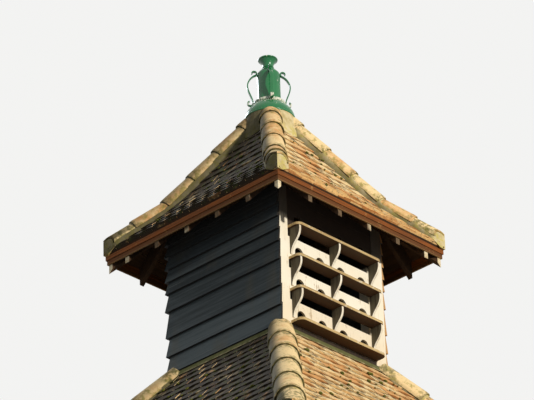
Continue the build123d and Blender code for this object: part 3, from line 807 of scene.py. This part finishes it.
def between_hips(outline, slope, gap):
    """The part of an outline on a slope that lies between its two hips."""
    low = min(run for _, run in outline)
    high = max(run for _, run in outline)
    out_low, out_high = slope.at(low)[0], slope.at(high)[0]
    fall = (out_high - out_low) / (high - low)
    reach = out_low - gap - fall * low
    return clipped(clipped(outline, 1, -fall, reach), -1, -fall, reach)


def area(outline):
    """Area of a flat outline."""
    pairs = zip(outline, outline[1:] + outline[:1])
    return abs(sum(x0 * y1 - x1 * y0 for (x0, y0), (x1, y1) in pairs)) / 2


def lay_slab(stock, slope, turn, outline, top, thickness, tone, tail):
    """Adds a flat outline on a slope as a slab; top gives the lift of its upper face at each point."""
    least_area = 0.0004
    if len(outline) < 3 or area(outline) < least_area:
        return
    upper = [turn @ slope.point(x, run, top(x, run)) for x, run in outline]
    lower = [turn @ slope.point(x, run, top(x, run) - thickness) for x, run in outline]
    grain = [(x, run - tail) for x, run in outline] * 2
    stock.loft([lower, upper], tone, grain)


def lay_tiles(slope, side, top_out, tiles, rng, short_courses=1):
    """All plain tiles of one slope as one mesh, with short courses under the lowest one."""
    hip_gap = 0.008
    skew_share = 0.6
    short_length = tiles.gauge * 1.4
    course_step = 0.008 * (short_courses - 1)
    stock = Stock()
    turn = turned(side)
    end = slope.length(top_out)
    pitch = tiles.width + tiles.joint
    tilt = tiles.thickness / tiles.gauge
    for course in range(-short_courses, ceil(end / tiles.gauge)):
        under = max(-course, 0)
        slip_share, lift_share = (1.4, 1.0) if course > 0 else (0.3, 0.2)
        lowest = -course_step * under
        tail = max(course, 0) * tiles.gauge + lowest
        row_lift = -tiles.thickness * under
        head = min(tail + (short_length if under else tiles.length), end)
        half = slope.at(tail)[0]
        start = -ceil(half / pitch) * pitch - (pitch / 2 if course % 2 else 0.0)
        for i in range(ceil((half - start) / pitch) + 1):
            left = start + i * pitch
            slip = rng.uniform(-1, 1) * tiles.wander * slip_share
            skew = rng.uniform(-1, 1) * tiles.wander * skew_share
            lift = rng.uniform(-0.4, 1.5) * tiles.wander * lift_share
            twist = rng.uniform(-1, 1) * tiles.wander / tiles.width
            tone = rng.random()
            first = max(tail + slip, lowest)
            middle = left + tiles.width / 2
            outline = [
                (left, first),
                (middle, first + max(skew / 2, 0)),
                (left + tiles.width, max(first + skew, lowest)),
                (left + tiles.width - skew, head),
                (middle - skew, head),
                (left - skew, head),
            ]

            def top(x, run, middle=middle, first=first, lift=lift, twist=twist, row_lift=row_lift):
                camber = tiles.camber * (0.4 - (abs(x - middle) / tiles.width * 2) ** 2)
                return row_lift + lift - tilt * (run - first) + twist * (x - middle) + camber

            outline = between_hips(outline, slope, hip_gap)
            lay_slab(stock, slope, turn, outline, top, tiles.thickness, tone, first)
    return stock


def strip_boards(stock, slope, side, reach, width, top, thickness, rng):
    """Adds level boards side by side up a slope, from the first to the last distance of its reach."""
    joint = 0.004
    hip_gap = 0.003
    first, last = reach
    turn = turned(side)
    count = max(1, round((last - first) / width))
    step = (last - first) / count
    for i in range(count):
        low = first + i * step
        high = low + step - joint
        half = slope.at(low)[0]
        outline = between_hips([(-half, low), (half, low), (half, high), (-half, high)], slope, hip_gap)
        lay_slab(stock, slope, turn, outline, lambda x, run: top, thickness, rng.random(), low)


# Half-round hip tiles and their mortar


def lower_hip_path(count=6):
    """Places of the joints of a lower hip, from the corner up, as distance from the axis and height."""
    step = (LOWER_HALF - TOWER_HALF) / count
    outs = [LOWER_HALF - step * i for i in range(count + 1)]
    return [(out, LOWER_EAVES_TOP + (LOWER_HALF - out) * tan(LOWER_PITCH)) for out in outs]


def upper_hip_path(shown=0.385):
    """Places of the joints of an upper hip, from the eaves up to the finial."""
    low_step = shown / hypot(sqrt(2), tan(SPROCKET_PITCH))
    high_step = shown / hypot(sqrt(2), tan(ROOF_PITCH))
    path = [(EAVES_HALF, EAVES_TOP)]
    while path[-1][0] > 2 * FINIAL_POST_HALF:
        out = path[-1][0]
        out = max(out - (low_step if EAVES_HALF - out < SPROCKET_RUN else high_step), FINIAL_POST_HALF)
        height = EAVES_TOP + (EAVES_HALF - out) if out > KNEE_OUT else PEAK - out * tan(ROOF_PITCH)
        path.append((out, height))
    return path


def lower_pitch(out):
    """Pitch of the lower roof, the same at any distance from the axis."""
    return LOWER_PITCH


def upper_pitch(out):
    """Pitch of the turret roof at a distance from the axis."""
    return SPROCKET_PITCH if out > KNEE_OUT else ROOF_PITCH


def hip_axes(lower, upper):
    """Start, end and the directions along, across and out of a stretch of the front-left hip."""
    start = Vector((-lower[0], -lower[0], lower[1]))
    end = Vector((-upper[0], -upper[0], upper[1]))
    along = (end - start).normalized()
    across = Vector((1, -1, 0)).normalized()
    outward = across.cross(along)
    if outward.z < 0:
        outward.negate()
    return start, end, along, across, outward


class HipRow:
    """Half-round tiles on the front-left hip, from the corner up, and the mortar that beds them."""

    def __init__(self, node, path, pitch_at, radii, sink, half, bottom):
        self.node = node
        self.path = path
        self.pitch_at = pitch_at
        self.radii = radii
        self.sink = sink
        self.half = half
        self.bottom = bottom

    def radius(self, t):
        """Outer radius of a tile, from its foot at 0 to its head at 1."""
        return self.radii[0] + (self.radii[1] - self.radii[0]) * t

    def shells(self, tiles, rng):
        """The tiles, each open below, the lowest long enough to be cut at the corner."""
        stock = Stock()
        for lower, upper in zip(self.path, self.path[1:]):
            self.shell(stock, lower, upper, tiles, rng)
        return stock

    def shell(self, stock, lower, upper, tiles, rng):
        """Adds one tile, a little out of true, its lower edge rubbed thin."""
        start, end, along, across, outward = hip_axes(lower, upper)
        overrun = 2 * self.radii[0] if lower == self.path[0] else 0.0
        spread = radians(96)
        steps = 18
        out_of_true = 0.003
        rubbed = 0.003
        angles = [-spread + 2 * spread * i / steps for i in range(steps + 1)]
        wander = [Vector([rng.uniform(-1, 1) for _ in range(3)]) * out_of_true for _ in range(2)]
        first = start - outward * self.sink - along * overrun + wander[0]
        last = end - outward * self.sink + along * tiles.hip_lap + wander[1]
        length = (last - first).length
        loops = []
        grain = []
        for t in (0.0, 0.06, 0.5, 1.0):
            centre = first.lerp(last, t)
            radius = self.radius(t)
            lip = rubbed if t == 0 else 0.0
            loop = []
            for reach, row in ((radius - lip, angles), (radius - tiles.hip_wall + lip, angles[::-1])):
                for angle in row:
                    loop.append(centre + (across * sin(angle) + outward * cos(angle)) * reach)
                    grain.append((angle * radius, t * length))
            loops.append(loop)
        stock.loft(loops, rng.random(), grain)

    def mortar(self, tiles, rng):
        """The mortar that fills the tiles down to the slopes."""
        loops = []
        inset = 0.012
        cover = 0.012
        clearance = 0.002
        tuck = 0.004
        width = self.radii[0] - inset
        stations = 8
        for lower, upper in zip(self.path, self.path[1:]):
            start, end, along, across, outward = hip_axes(lower, upper)
            if lower == self.path[0]:
                start = start - along * 2 * self.radii[0]
            pitch = self.pitch_at((lower[0] + upper[0]) / 2)
            foot = tan(acos(cos(pitch) ** 2) / 2) * width + cover
            for i in range(stations):
                centre = start.lerp(end, i / stations)
                inner = self.radius(i / stations) - tiles.hip_wall - clearance
                section = [(-width, foot), (-0.97 * width, self.sink + tuck)]
                for k in range(9):
                    angle = radians(-80 + 20 * k)
                    section.append((inner * sin(angle), self.sink - inner * cos(angle)))
                section += [(0.97 * width, self.sink + tuck), (width, foot)]
                loop = []
                for x, drop in section:
                    lump = 1 + 0.05 * noise((centre + across * x) * 14) + rng.uniform(-0.015, 0.015)
                    loop.append(centre + across * x * lump - outward * drop)
                loops.append(loop)
        stock = Stock()
        stock.loft(loops)
        return stock

    def cut_flush(self, stock):
        """Cuts a row back to the two upright planes of its corner and to a level one."""
        planes = (
            (Vector((-self.half, 0, 0)), Vector((-1, 0, 0))),
            (Vector((0, -self.half, 0)), Vector((0, -1, 0))),
            (Vector((0, 0, self.bottom)), Vector((0, 0, -1))),
        )
        shape = bmesh.new()
        tone_layer = shape.faces.layers.float.new("tone")
        grain_layer = shape.verts.layers.float_vector.new("grain")
        points = [shape.verts.new(p) for p in stock.points]
        for point, (along, up) in zip(points, stock.grain):
            point[grain_layer] = (along, up, 0)
        for face, tone in zip(stock.faces, stock.tones):
            shape.faces.new([points[i] for i in face])[tone_layer] = tone
        for origin, outward in planes:
            every = shape.verts[:] + shape.edges[:] + shape.faces[:]
            cut = bmesh.ops.bisect_plane(
                shape, geom=every, plane_co=origin, plane_no=outward, clear_outer=True
            )
            rims = [e for e in cut["geom_cut"] if isinstance(e, bmesh.types.BMEdge)]
            bmesh.ops.triangle_fill(shape, edges=rims, use_beauty=True)
        shape.verts.index_update()
        stock.points = [tuple(v.co) for v in shape.verts]
        stock.grain = [tuple(v[grain_layer][:2]) for v in shape.verts]
        stock.faces = [[v.index for v in f.verts] for f in shape.faces]
        stock.tones = [f[tone_layer] for f in shape.faces]
        shape.free()


# Steps that dress the turret


class DOVECOTE_OT_upper_tiles(bpy.types.Operator):
    """Lays the plain tiles of the turret roof"""

    bl_idname = "dovecote.upper_tiles"
    bl_label = "Turret roof tiles"

    def execute(self, context):
        tiles = context.scene.dovecote.tiles
        rng = random.Random(tiles.seed)
        material = finish("plain_clay_tiles", clay)
        for side in SIDES:
            stock = lay_tiles(UPPER_SLOPE, side, FINIAL_POST_HALF + 0.01, tiles, rng, 2)
            stock.piece(f"turret_tiling_{side}", "roof_tiles", material, [f"roof_tiles_{side}"])
        return {"FINISHED"}


class DOVECOTE_OT_lower_tiles(bpy.types.Operator):
    """Lays the plain tiles of the roof below and the laths that they hang on"""

    bl_idname = "dovecote.lower_tiles"
    bl_label = "Lower roof tiles"

    lath_width = 0.032
    lath_thickness = 0.0038

    def execute(self, context):
        tiles = context.scene.dovecote.tiles
        rng = random.Random(tiles.seed + 1)
        material = finish("plain_clay_tiles", clay)
        lath_top = 0.004 - TILE_COAT
        laths = Stock()
        for side in SIDES:
            stock = lay_tiles(LOWER_SLOPE, side, TOWER_HALF, tiles, rng)
            stock.piece(f"lower_tiling_{side}", "roof_tiles", material, [f"lower_tiles_{side}"])
            for course in range(int(LOWER_SLOPE.length(TOWER_HALF) / tiles.gauge)):
                low = tiles.gauge * (course + 0.5)
                reach = (low, low + self.lath_width)
                strip_boards(
                    laths, LOWER_SLOPE, side, reach, self.lath_width, lath_top, self.lath_thickness, rng
                )
        laths.piece("tile_laths", "roof_timber", finish("soffit_boards", soffit_boarding))
        return {"FINISHED"}


class DOVECOTE_OT_hip_tiles(bpy.types.Operator):
    """Beds the half-round tiles on the eight hips"""

    bl_idname = "dovecote.hip_tiles"
    bl_label = "Hip tiles"

    rows = {
        "lower": HipRow(
            "lower_hip_tiles", lower_hip_path(), lower_pitch,
            radii=(0.145, 0.121), sink=0.068, half=LOWER_HALF, bottom=0.0,
        ),
        "turret": HipRow(
            "roof_hip_tiles", upper_hip_path(), upper_pitch,
            radii=(0.122, 0.100), sink=0.020, half=EAVES_HALF, bottom=EAVES_BOTTOM,
        ),
    }

    def execute(self, context):
        tiles = context.scene.dovecote.tiles
        rng = random.Random(tiles.seed + 2)
        clay_finish = finish("hip_clay", hip_clay)
        mortar_finish = finish("hip_mortar", mortar)
        for name, row in self.rows.items():
            shells = Stock()
            beds = Stock()
            for side in SIDES:
                for whole, part in ((shells, row.shells(tiles, rng)), (beds, row.mortar(tiles, rng))):
                    row.cut_flush(part)
                    whole.take(part, turned(side))
            shells.piece(f"{name}_hip_shells", "hip_tiles", clay_finish, [row.node], smooth=radians(40))
            beds.piece(f"{name}_hip_mortar", "mortar", mortar_finish, smooth=radians(50))
        return {"FINISHED"}


class DOVECOTE_OT_soffit(bpy.types.Operator):
    """Boards the underside of the turret roof and dresses its rafters and fascia"""

    bl_idname = "dovecote.soffit"
    bl_label = "Eaves and roof timbers"

    seed = 11
    board_width = 0.150
    eaves_overhang = 0.015

    def execute(self, context):
        boards = context.scene.dovecote.boards
        rng = random.Random(self.seed)
        reach = (-self.eaves_overhang, UPPER_SLOPE.length(FINIAL_POST_HALF + 0.03))
        stock = Stock()
        for side in SIDES:
            strip_boards(stock, UPPER_SLOPE, side, reach, self.board_width, -TILE_COAT, BOARDING, rng)
        material = finish("soffit_boards", soffit_boarding)
        stock.piece("soffit_boarding", "roof_timber", material, ["roof_boarding"])
        timber = finish("soffit_timber", soffit_timber)
        for node in ("rafters", "hip_rafters"):
            dress(node, timber, boards.worn_edge)
        dress("fascia", finish("fascia_stain", fascia_stain), boards.worn_edge * 0.6)
        return {"FINISHED"}


class DOVECOTE_OT_frame_timbers(bpy.types.Operator):
    """Dresses the timbers inside the turret and the roof below"""

    bl_idname = "dovecote.frame_timbers"
    bl_label = "Inner timbers"

    lower_nodes = ("lower_wall_plate", "lower_rafters", "lower_hip_rafters")
    turret_nodes = ("sill_frame", "head_plate", "back_posts", "finial_post")

    def execute(self, context):
        for node in self.lower_nodes + self.turret_nodes:
            dress(node, finish("plain_timber", plain_timber))
        return {"FINISHED"}


class DOVECOTE_OT_weatherboards(bpy.types.Operator):
    """Hangs the grey weatherboards on the two sides and the back"""

    bl_idname = "dovecote.weatherboards"
    bl_label = "Weatherboards"

    seed = 5
    exposures = (0.193, 0.201, 0.283, 0.195, 0.132, 0.135, 0.135, 0.135, 0.100)
    head_thickness = 0.006

    def execute(self, context):
        boards = context.scene.dovecote.boards
        material = finish("slate_boards", slate_boards)
        rng = random.Random(self.seed)
        for side in ("right", "back", "left"):
            stock = Stock()
            height = FOOT
            for exposure in self.exposures:
                self.hang(stock, side, height, exposure, boards, rng)
                height += exposure
            stock.piece(f"{side}_weatherboards", "grey_boards", material, [f"{side}_wall"])
        return {"FINISHED"}

    def hang(self, stock, side, bottom, exposure, boards, rng):
        """Adds one board, a wedge in section, a little bowed along its length."""
        top = min(bottom + exposure + boards.lap, WALL_TOP)
        butt_out = TOWER_HALF + boards.butt_out
        head_out = butt_out - boards.butt * (top - bottom) / exposure
        turn = turned(side)
        drift = rng.uniform(0, 100)
        tone = rng.random()
        stations = 14
        loops = []
        grain = []
        for i in range(stations + 1):
            t = i / stations
            sway = 0.004 * noise((t * 2.5, drift, 0)) + 0.0012 * noise((t * 14, drift, 5))
            dip = 0.005 * noise((t * 1.8, drift, 9))
            section = (
                (butt_out + sway, bottom + dip),
                (head_out + sway * 0.5, top),
                (head_out - self.head_thickness, top),
                (butt_out - boards.butt + sway, bottom + dip),
            )
            loop = []
            for out, z in section:
                left, right = self.ends(side, out, boards)
                x = left + (right - left) * t
                loop.append(turn @ Vector((x, -out, z)))
                grain.append((x, z - bottom))
            loops.append(loop)
        stock.loft(loops, tone, grain)

    def ends(self, side, out, boards):
        """Where a board ends: at the mitres, past the left painted post, beside the right one."""
        left, right = -out, out
        if side == "left":
            right = TOWER_HALF + boards.oversail
        if side == "right":
            left = 0.0005 - TOWER_HALF
        return left, right


class DOVECOTE_OT_pigeon_face(bpy.types.Operator):
    """Dresses the painted posts, hole boards, ledges and brackets of the pigeon-hole face"""

    bl_idname = "dovecote.pigeon_face"
    bl_label = "Pigeon-hole face"

    def execute(self, context):
        boards = context.scene.dovecote.boards
        paint = finish("worn_paint", worn_paint)
        for node in ("front_posts", "sill_board", "head_board", "hole_board_4"):
            dress(node, paint, boards.worn_edge)
        for tier in (1, 2, 3):
            piece = self.pierced_board(tier, paint, boards)
            soften(piece, boards.worn_edge)
            dress(f"brackets_{tier}", finish("bracket_paint", bracket_paint), boards.worn_edge)
        for tier in (1, 2, 3, 4):
            dress(f"ledge_{tier}", finish("ledge_wood", ledge_wood), boards.worn_edge * 1.6)
        return {"FINISHED"}

    def pierced_board(self, tier, paint, boards):
        """A board with arched holes at its foot, which leaves a slot under the ledge above."""
        holes = 4
        arc_steps = 16
        node = f"hole_board_{tier}"
        low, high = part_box(node)
        radius = boards.hole_width / 2
        spring = low.z + boards.hole_height - radius
        outline = [(low.x, low.z)]
        for i in range(holes):
            middle = boards.hole_spacing * (i - (holes - 1) / 2)
            outline.append((middle - radius, low.z))
            for k in range(arc_steps + 1):
                angle = pi * (1 - k / arc_steps)
                outline.append((middle + radius * cos(angle), spring + radius * sin(angle)))
            outline.append((middle + radius, low.z))
        top = high.z - boards.slot
        outline += [(high.x, low.z), (high.x, top), (low.x, top)]
        stock = Stock()
        stock.loft([[(x, y, z) for x, z in outline] for y in (low.y, high.y)])
        return stock.piece(f"pierced_board_{tier}", "painted_boards", paint, [node])


class DOVECOTE_OT_apron(bpy.types.Operator):
    """Dresses the flashing round the foot of the walls"""

    bl_idname = "dovecote.apron"
    bl_label = "Apron flashing"

    def execute(self, context):
        dress("apron_flashing", finish("apron_flashing", flashing))
        return {"FINISHED"}


def lathe(name, outline, segments, material, node):
    """A solid of revolution from radii and heights, from the axis out and back."""
    loops = []
    for i in range(segments):
        angle = 2 * pi * i / segments
        loops.append([(radius * cos(angle), radius * sin(angle), z) for radius, z in outline])
    stock = Stock()
    stock.loft(loops, closed=True)
    piece = stock.piece(name, "green_iron", material, [node], smooth=radians(35))
    tidy_faces(piece.data, weld=0.00001)


def roll(radius, low, high, bulge, steps=6):
    """Outline points of a half-round roll that stands out from a radius."""
    points = []
    for i in range(steps + 1):
        angle = pi * i / steps
        points.append((radius + bulge * sin(angle), (low + high) / 2 - (high - low) / 2 * cos(angle)))
    return points


def hermite(start, end, leave, arrive, steps):
    """Points of a smooth curve between two points with a direction at each, without the first."""
    reach = (end - start).length
    points = []
    for i in range(1, steps + 1):
        t = i / steps
        near = 2 * t ** 3 - 3 * t ** 2 + 1
        far = 3 * t ** 2 - 2 * t ** 3
        leaving = t ** 3 - 2 * t ** 2 + t
        arriving = t ** 3 - t ** 2
        points.append(start * near + leave * (leaving * reach) + end * far + arrive * (arriving * reach))
    return points


class DOVECOTE_OT_finial(bpy.types.Operator):
    """Turns the green finial and bends its four scrolls"""

    bl_idname = "dovecote.finial"
    bl_label = "Finial"

    band_height = 0.030
    overlap = 0.001
    seat_gap = 0.0003
    turn_off_hips = 6.5

    def execute(self, context):
        finial = context.scene.dovecote.finial
        iron = finish("finial_gloss_paint", green_iron)
        lathe("finial_bell", self.bell(finial), finial.segments, iron, "finial_skirt")
        lathe("finial_urn", self.urn(finial), finial.segments, iron, "finial_body")
        lathe("finial_chalice", self.chalice(finial), finial.segments, iron, "finial_cup")
        self.scrolls(finial, iron)
        dress("finial_bedding", finish("hip_mortar", mortar))
        return {"FINISHED"}

    def bell(self, finial):
        """Outline of the skirt: a roll at its foot, a hollow flare and the collar band."""
        rim_top = FINIAL_FOOT + 1.7 * finial.bead
        band_foot = BAND_TOP - self.band_height
        flare_in = finial.skirt - finial.collar + 0.002
        outline = [(0, FINIAL_FOOT + 0.004), (finial.skirt - 0.006, FINIAL_FOOT + 0.004)]
        outline += roll(finial.skirt - 0.002, FINIAL_FOOT, FINIAL_FOOT + 1.6 * finial.bead, 0.008)
        for i in range(15):
            t = i / 14
            outline.append((finial.skirt - flare_in * t ** 1.9, rim_top + (band_foot - rim_top) * t))
        outline += roll(finial.collar, band_foot, BAND_TOP, 0.006)
        outline += [(finial.belly + 0.003, BAND_TOP + self.overlap), (0, BAND_TOP + self.overlap)]
        return outline

    def urn(self, finial):
        """Outline of the body: a bead near its foot, a straight side, a bend and the neck's roll."""
        belly = finial.belly
        bead_foot = BAND_TOP + 0.020
        waist = BAND_TOP + 0.16
        shoulder = BAND_TOP + finial.shoulder_rise
        neck = shoulder + 0.093
        outline = [(0, BAND_TOP - self.overlap), (belly, BAND_TOP - self.overlap), (belly, bead_foot)]
        outline += roll(belly, bead_foot, bead_foot + finial.bead, 0.004)
        outline += [(belly - 0.001, waist), (belly, shoulder)]
        for i in range(1, 9):
            angle = radians(44) * i / 8
            outline.append((belly - finial.bend * (1 - cos(angle)), shoulder + finial.bend * sin(angle)))
        outline += [(finial.neck, neck)]
        outline += roll(finial.neck - 0.002, neck, CUP_BASE, 0.008)
        outline += [(0, CUP_BASE)]
        return outline

    def chalice(self, finial):
        """Outline of the cup: a flare, a rolled rim and the open bowl."""
        flare = 0.037
        bowl_radius = 0.086
        bowl_taper = 0.040
        depth = CUP_RIM - CUP_BASE
        outline = [(0, CUP_BASE - 0.0005)]
        for i in range(13):
            t = i / 12
            outline.append((finial.neck + flare * t ** 2.1, CUP_BASE + (depth - 0.016) * t))
        outline += roll(CUP_RADIUS - 0.006, CUP_RIM - 0.015, CUP_RIM, 0.006)
        for i in range(9):
            t = i / 8
            outline.append((bowl_radius - bowl_taper * t ** 0.7, CUP_RIM - 0.002 - (depth - 0.011) * t))
        outline += [(0, CUP_BASE + 0.009)]
        return outline

    def scroll_line(self, finial):
        """The middle of a scroll iron, as distance from the axis and height: curl, bow, curl."""
        lift = finial.iron_thick / 2 + self.seat_gap
        rest = radians(18.5)
        reach = finial.bend + lift + finial.top_curl
        shoulder = Vector((finial.belly - finial.bend, BAND_TOP + finial.shoulder_rise))
        top = shoulder + Vector((cos(rest), sin(rest))) * reach
        low = Vector((finial.collar + lift + finial.foot_curl, BAND_TOP - 0.004))
        bow = Vector((0.217, BAND_TOP + 0.195))
        down = Vector((0.0, -1.0))
        leave = Vector((-sin(radians(245)), cos(radians(245))))
        line = self.curl(top, finial.top_curl, -10, 245, 0.80, 1.0)
        line += hermite(line[-1], bow, leave, down, 14)
        line += hermite(bow, low - Vector((finial.foot_curl, 0)), down, down, 14)
        line += self.curl(low, finial.foot_curl, 180, 430, 1.0, 0.80)[1:]
        return line

    def curl(self, centre, radius, first, last, share_first, share_last):
        """Points of a curl between two angles, tighter at its free end."""
        steps = 20
        held = 0.4
        points = []
        for i in range(steps + 1):
            t = i / steps
            eased = t * 1.6 if share_first < 1 else max(0, t - held) / (1 - held)
            drawn = share_first + (share_last - share_first) * min(1, eased)
            angle = radians(first + (last - first) * t)
            points.append(centre + Vector((cos(angle), sin(angle))) * (radius * drawn))
        return points

    def scrolls(self, finial, iron):
        """Four bowed irons with a curl at each end, in section a flat bar with its corners off."""
        wide = finial.iron_width / 2
        thick = finial.iron_thick / 2
        corner = 0.003
        section = (
            (-wide, thick - corner), (-wide, corner - thick),
            (corner - wide, -thick), (wide - corner, -thick),
            (wide, corner - thick), (wide, thick - corner),
            (wide - corner, thick), (corner - wide, thick),
        )
        line = self.scroll_line(finial)
        stock = Stock()
        for side in SIDES.values():
            turn = Matrix.Rotation(radians(45 + self.turn_off_hips + side), 3, "Z")
            loops = []
            for i, point in enumerate(line):
                before, after = line[max(i - 1, 0)], line[min(i + 1, len(line) - 1)]
                along = (after - before).normalized()
                out = Vector((-along.y, along.x))
                loop = []
                for y, rise in section:
                    flat = point + out * rise
                    loop.append(turn @ Vector((flat.x, y, flat.y)))
                loops.append(loop)
            stock.loft(loops)
        stock.piece("scroll_irons", "green_iron", iron, ["finial_scrolls"], smooth=radians(35))


class DOVECOTE_OT_moss(bpy.types.Operator):
    """Scatters cushions of moss on the hips and laps"""

    bl_idname = "dovecote.moss"
    bl_label = "Moss"

    seed = 23
    slopes = ((LOWER_SLOPE, TOWER_HALF + 0.05, 90), (UPPER_SLOPE, 0.30, 22))

    def execute(self, context):
        rng = random.Random(self.seed)
        gauge = context.scene.dovecote.tiles.gauge
        clear_of_hips = 0.14
        stock = Stock()
        sphere = bmesh.new()
        bmesh.ops.create_icosphere(sphere, subdivisions=2, radius=1.0)
        points = [v.co.copy() for v in sphere.verts]
        faces = [[v.index for v in f.verts] for f in sphere.faces]
        sphere.free()
        for slope, top_out, count in self.slopes:
            courses = slope.length(top_out) / gauge
            for side in SIDES:
                for _ in range(count):
                    run = gauge * round(rng.uniform(1, courses - 1)) + rng.uniform(-0.012, 0.002)
                    half, _, pitch = slope.at(run)
                    across = rng.uniform(clear_of_hips - half, half - clear_of_hips)
                    centre = slope.point(across, run, 0.001)
                    self.cushion(stock, points, faces, turned(side), centre, pitch, rng)
        stock.piece("moss", "mortar", finish("moss_growth", moss_growth), smooth=radians(80))
        return {"FINISHED"}

    def cushion(self, stock, points, faces, turn, centre, pitch, rng):
        """Adds one flat lump of moss on a slope."""
        wide = rng.uniform(0.008, 0.026)
        thick = wide * rng.uniform(0.3, 0.5)
        long = wide * rng.uniform(0.5, 0.9)
        tilt = Matrix.Rotation(pitch, 3, "X")
        drift = Vector((rng.uniform(0, 50), 0, 0))
        moved = []
        for p in points:
            grown = p * (1 + 0.35 * noise(p * 1.7 + drift))
            flat = Vector((grown.x * wide, grown.y * long, grown.z * thick))
            moved.append(turn @ (centre + tilt @ flat))
        stock.add(moved, faces, rng.random())


class DOVECOTE_OT_stage(bpy.types.Operator):
    """Sets the floor, the lamps and the camera"""

    bl_idname = "dovecote.stage"
    bl_label = "Stage"

    eye = Vector((-21.07, -19.71, -12.479))
    heading = radians(43.203)
    climb = radians(29.538)
    tilt = radians(-1.992)
    floor_reach = 60.0
    floor_level = -0.002
    floor_shade = (0.12, 0.12, 0.12)

    def execute(self, context):
        stage = context.scene.dovecote.stage
        self.camera(context, stage)
        self.floor(stage)
        self.lamps(stage)
        self.world(context, stage)
        context.scene.view_settings.view_transform = "Standard"
        return {"FINISHED"}

    def camera(self, context, stage):
        """A camera below the object, which looks up at it as the photograph does."""
        level = cos(self.climb)
        ahead = Vector((cos(self.heading) * level, sin(self.heading) * level, sin(self.climb)))
        flat_right = Vector((sin(self.heading), -cos(self.heading), 0))
        flat_up = flat_right.cross(ahead)
        right = cos(self.tilt) * flat_right + sin(self.tilt) * flat_up
        up = cos(self.tilt) * flat_up - sin(self.tilt) * flat_right
        data = bpy.data.cameras.new("camera")
        data.lens = stage.lens
        data.sensor_width = 36.0
        data.clip_end = 200.0
        camera = put("camera", data)
        camera.matrix_world = Matrix((right, up, -ahead)).transposed().to_4x4()
        camera.location = self.eye
        context.scene.camera = camera

    def floor(self, stage):
        """A pale floor, seen from above and clear from below, where the camera stands."""
        reach = self.floor_reach
        corners = [(-reach, -reach), (reach, -reach), (reach, reach), (-reach, reach)]
        mesh = bpy.data.meshes.new("floor")
        mesh.from_pydata([(x, y, self.floor_level) for x, y in corners], [], [(0, 1, 2, 3)])
        material = bpy.data.materials.new("floor")
        recipe = Recipe(material)
        seen = recipe.seen()
        inputs = {
            "Base Color": recipe.mix(seen, self.floor_shade, tuple(stage.pale)),
            "Roughness": 0.9,
            "Emission Color": recipe.mix(seen, (0.0, 0.0, 0.0), tuple(stage.pale)),
            "Emission Strength": 0.35,
        }
        pale = recipe.node("ShaderNodeBsdfPrincipled", {}, inputs)
        clear = recipe.node("ShaderNodeBsdfTransparent")
        below = recipe.node("ShaderNodeNewGeometry", {}, {}, "Backfacing")
        recipe.show(recipe.node("ShaderNodeMixShader", {}, {0: below, 1: pale, 2: clear}))
        mesh.materials.append(material)
        put("floor", mesh)

    def lamps(self, stage):
        """A low warm key in front, and a cooler lamp behind."""
        lamps = {
            "key": (Vector((-0.12, -1.0, 0.09)), stage.key, radians(3), stage.key_colour),
            "back": (Vector((0.1, 1.0, 0.6)), stage.key * 0.55, radians(20), stage.fill_colour),
        }
        for name, (towards, strength, angle, colour) in lamps.items():
            data = bpy.data.lights.new(name, "SUN")
            data.energy = strength
            data.angle = angle
            data.color = colour
            lamp = put(name, data)
            lamp.rotation_mode = "QUATERNION"
            lamp.rotation_quaternion = towards.to_track_quat("Z", "Y")

    def world(self, context, stage):
        """Even light from all round, with a pale background."""
        world = bpy.data.worlds.new("surroundings")
        recipe = Recipe(world)
        light = tuple(level * stage.fill for level in stage.fill_colour)
        pale = tuple(min(1.0, level * 1.12) for level in stage.pale)
        colour = recipe.mix(recipe.seen(), light, pale)
        recipe.show(recipe.node("ShaderNodeBackground", {}, {"Color": colour}), "ShaderNodeOutputWorld")
        context.scene.world = world


# Panel and run


OPERATORS = (
    DOVECOTE_OT_stage,
    DOVECOTE_OT_upper_tiles,
    DOVECOTE_OT_lower_tiles,
    DOVECOTE_OT_hip_tiles,
    DOVECOTE_OT_soffit,
    DOVECOTE_OT_frame_timbers,
    DOVECOTE_OT_weatherboards,
    DOVECOTE_OT_pigeon_face,
    DOVECOTE_OT_apron,
    DOVECOTE_OT_finial,
    DOVECOTE_OT_moss,
)


class DOVECOTE_PT_panel(bpy.types.Panel):
    """Lists the steps that dress the turret"""

    bl_idname = "DOVECOTE_PT_panel"
    bl_label = "Dovecote turret"
    bl_space_type = "VIEW_3D"
    bl_region_type = "UI"
    bl_category = "Dovecote"

    def draw(self, context):
        settings = context.scene.dovecote
        for operator in OPERATORS:
            self.layout.operator(operator.bl_idname)
        for group in (settings.tiles, settings.boards, settings.finial, settings.stage):
            box = self.layout.box()
            for name in group.bl_rna.properties.keys():
                if name not in {"rna_type", "name"}:
                    box.prop(group, name)


CLASSES = (
    DovecoteTiles,
    DovecoteBoards,
    DovecoteFinial,
    DovecoteStage,
    DovecoteSettings,
    *OPERATORS,
    DOVECOTE_PT_panel,
)


def register():
    """Makes the settings, steps and panel known to Blender."""
    for cls in CLASSES:
        bpy.utils.register_class(cls)
    bpy.types.Scene.dovecote = PointerProperty(type=DovecoteSettings)


def unregister():
    """Takes them away again."""
    del bpy.types.Scene.dovecote
    for cls in reversed(CLASSES):
        bpy.utils.unregister_class(cls)


def main():
    """Runs every step in order."""
    register()
    for operator in OPERATORS:
        group, name = operator.bl_idname.split(".")
        getattr(getattr(bpy.ops, group), name)()


if __name__ == "__main__":
    main()
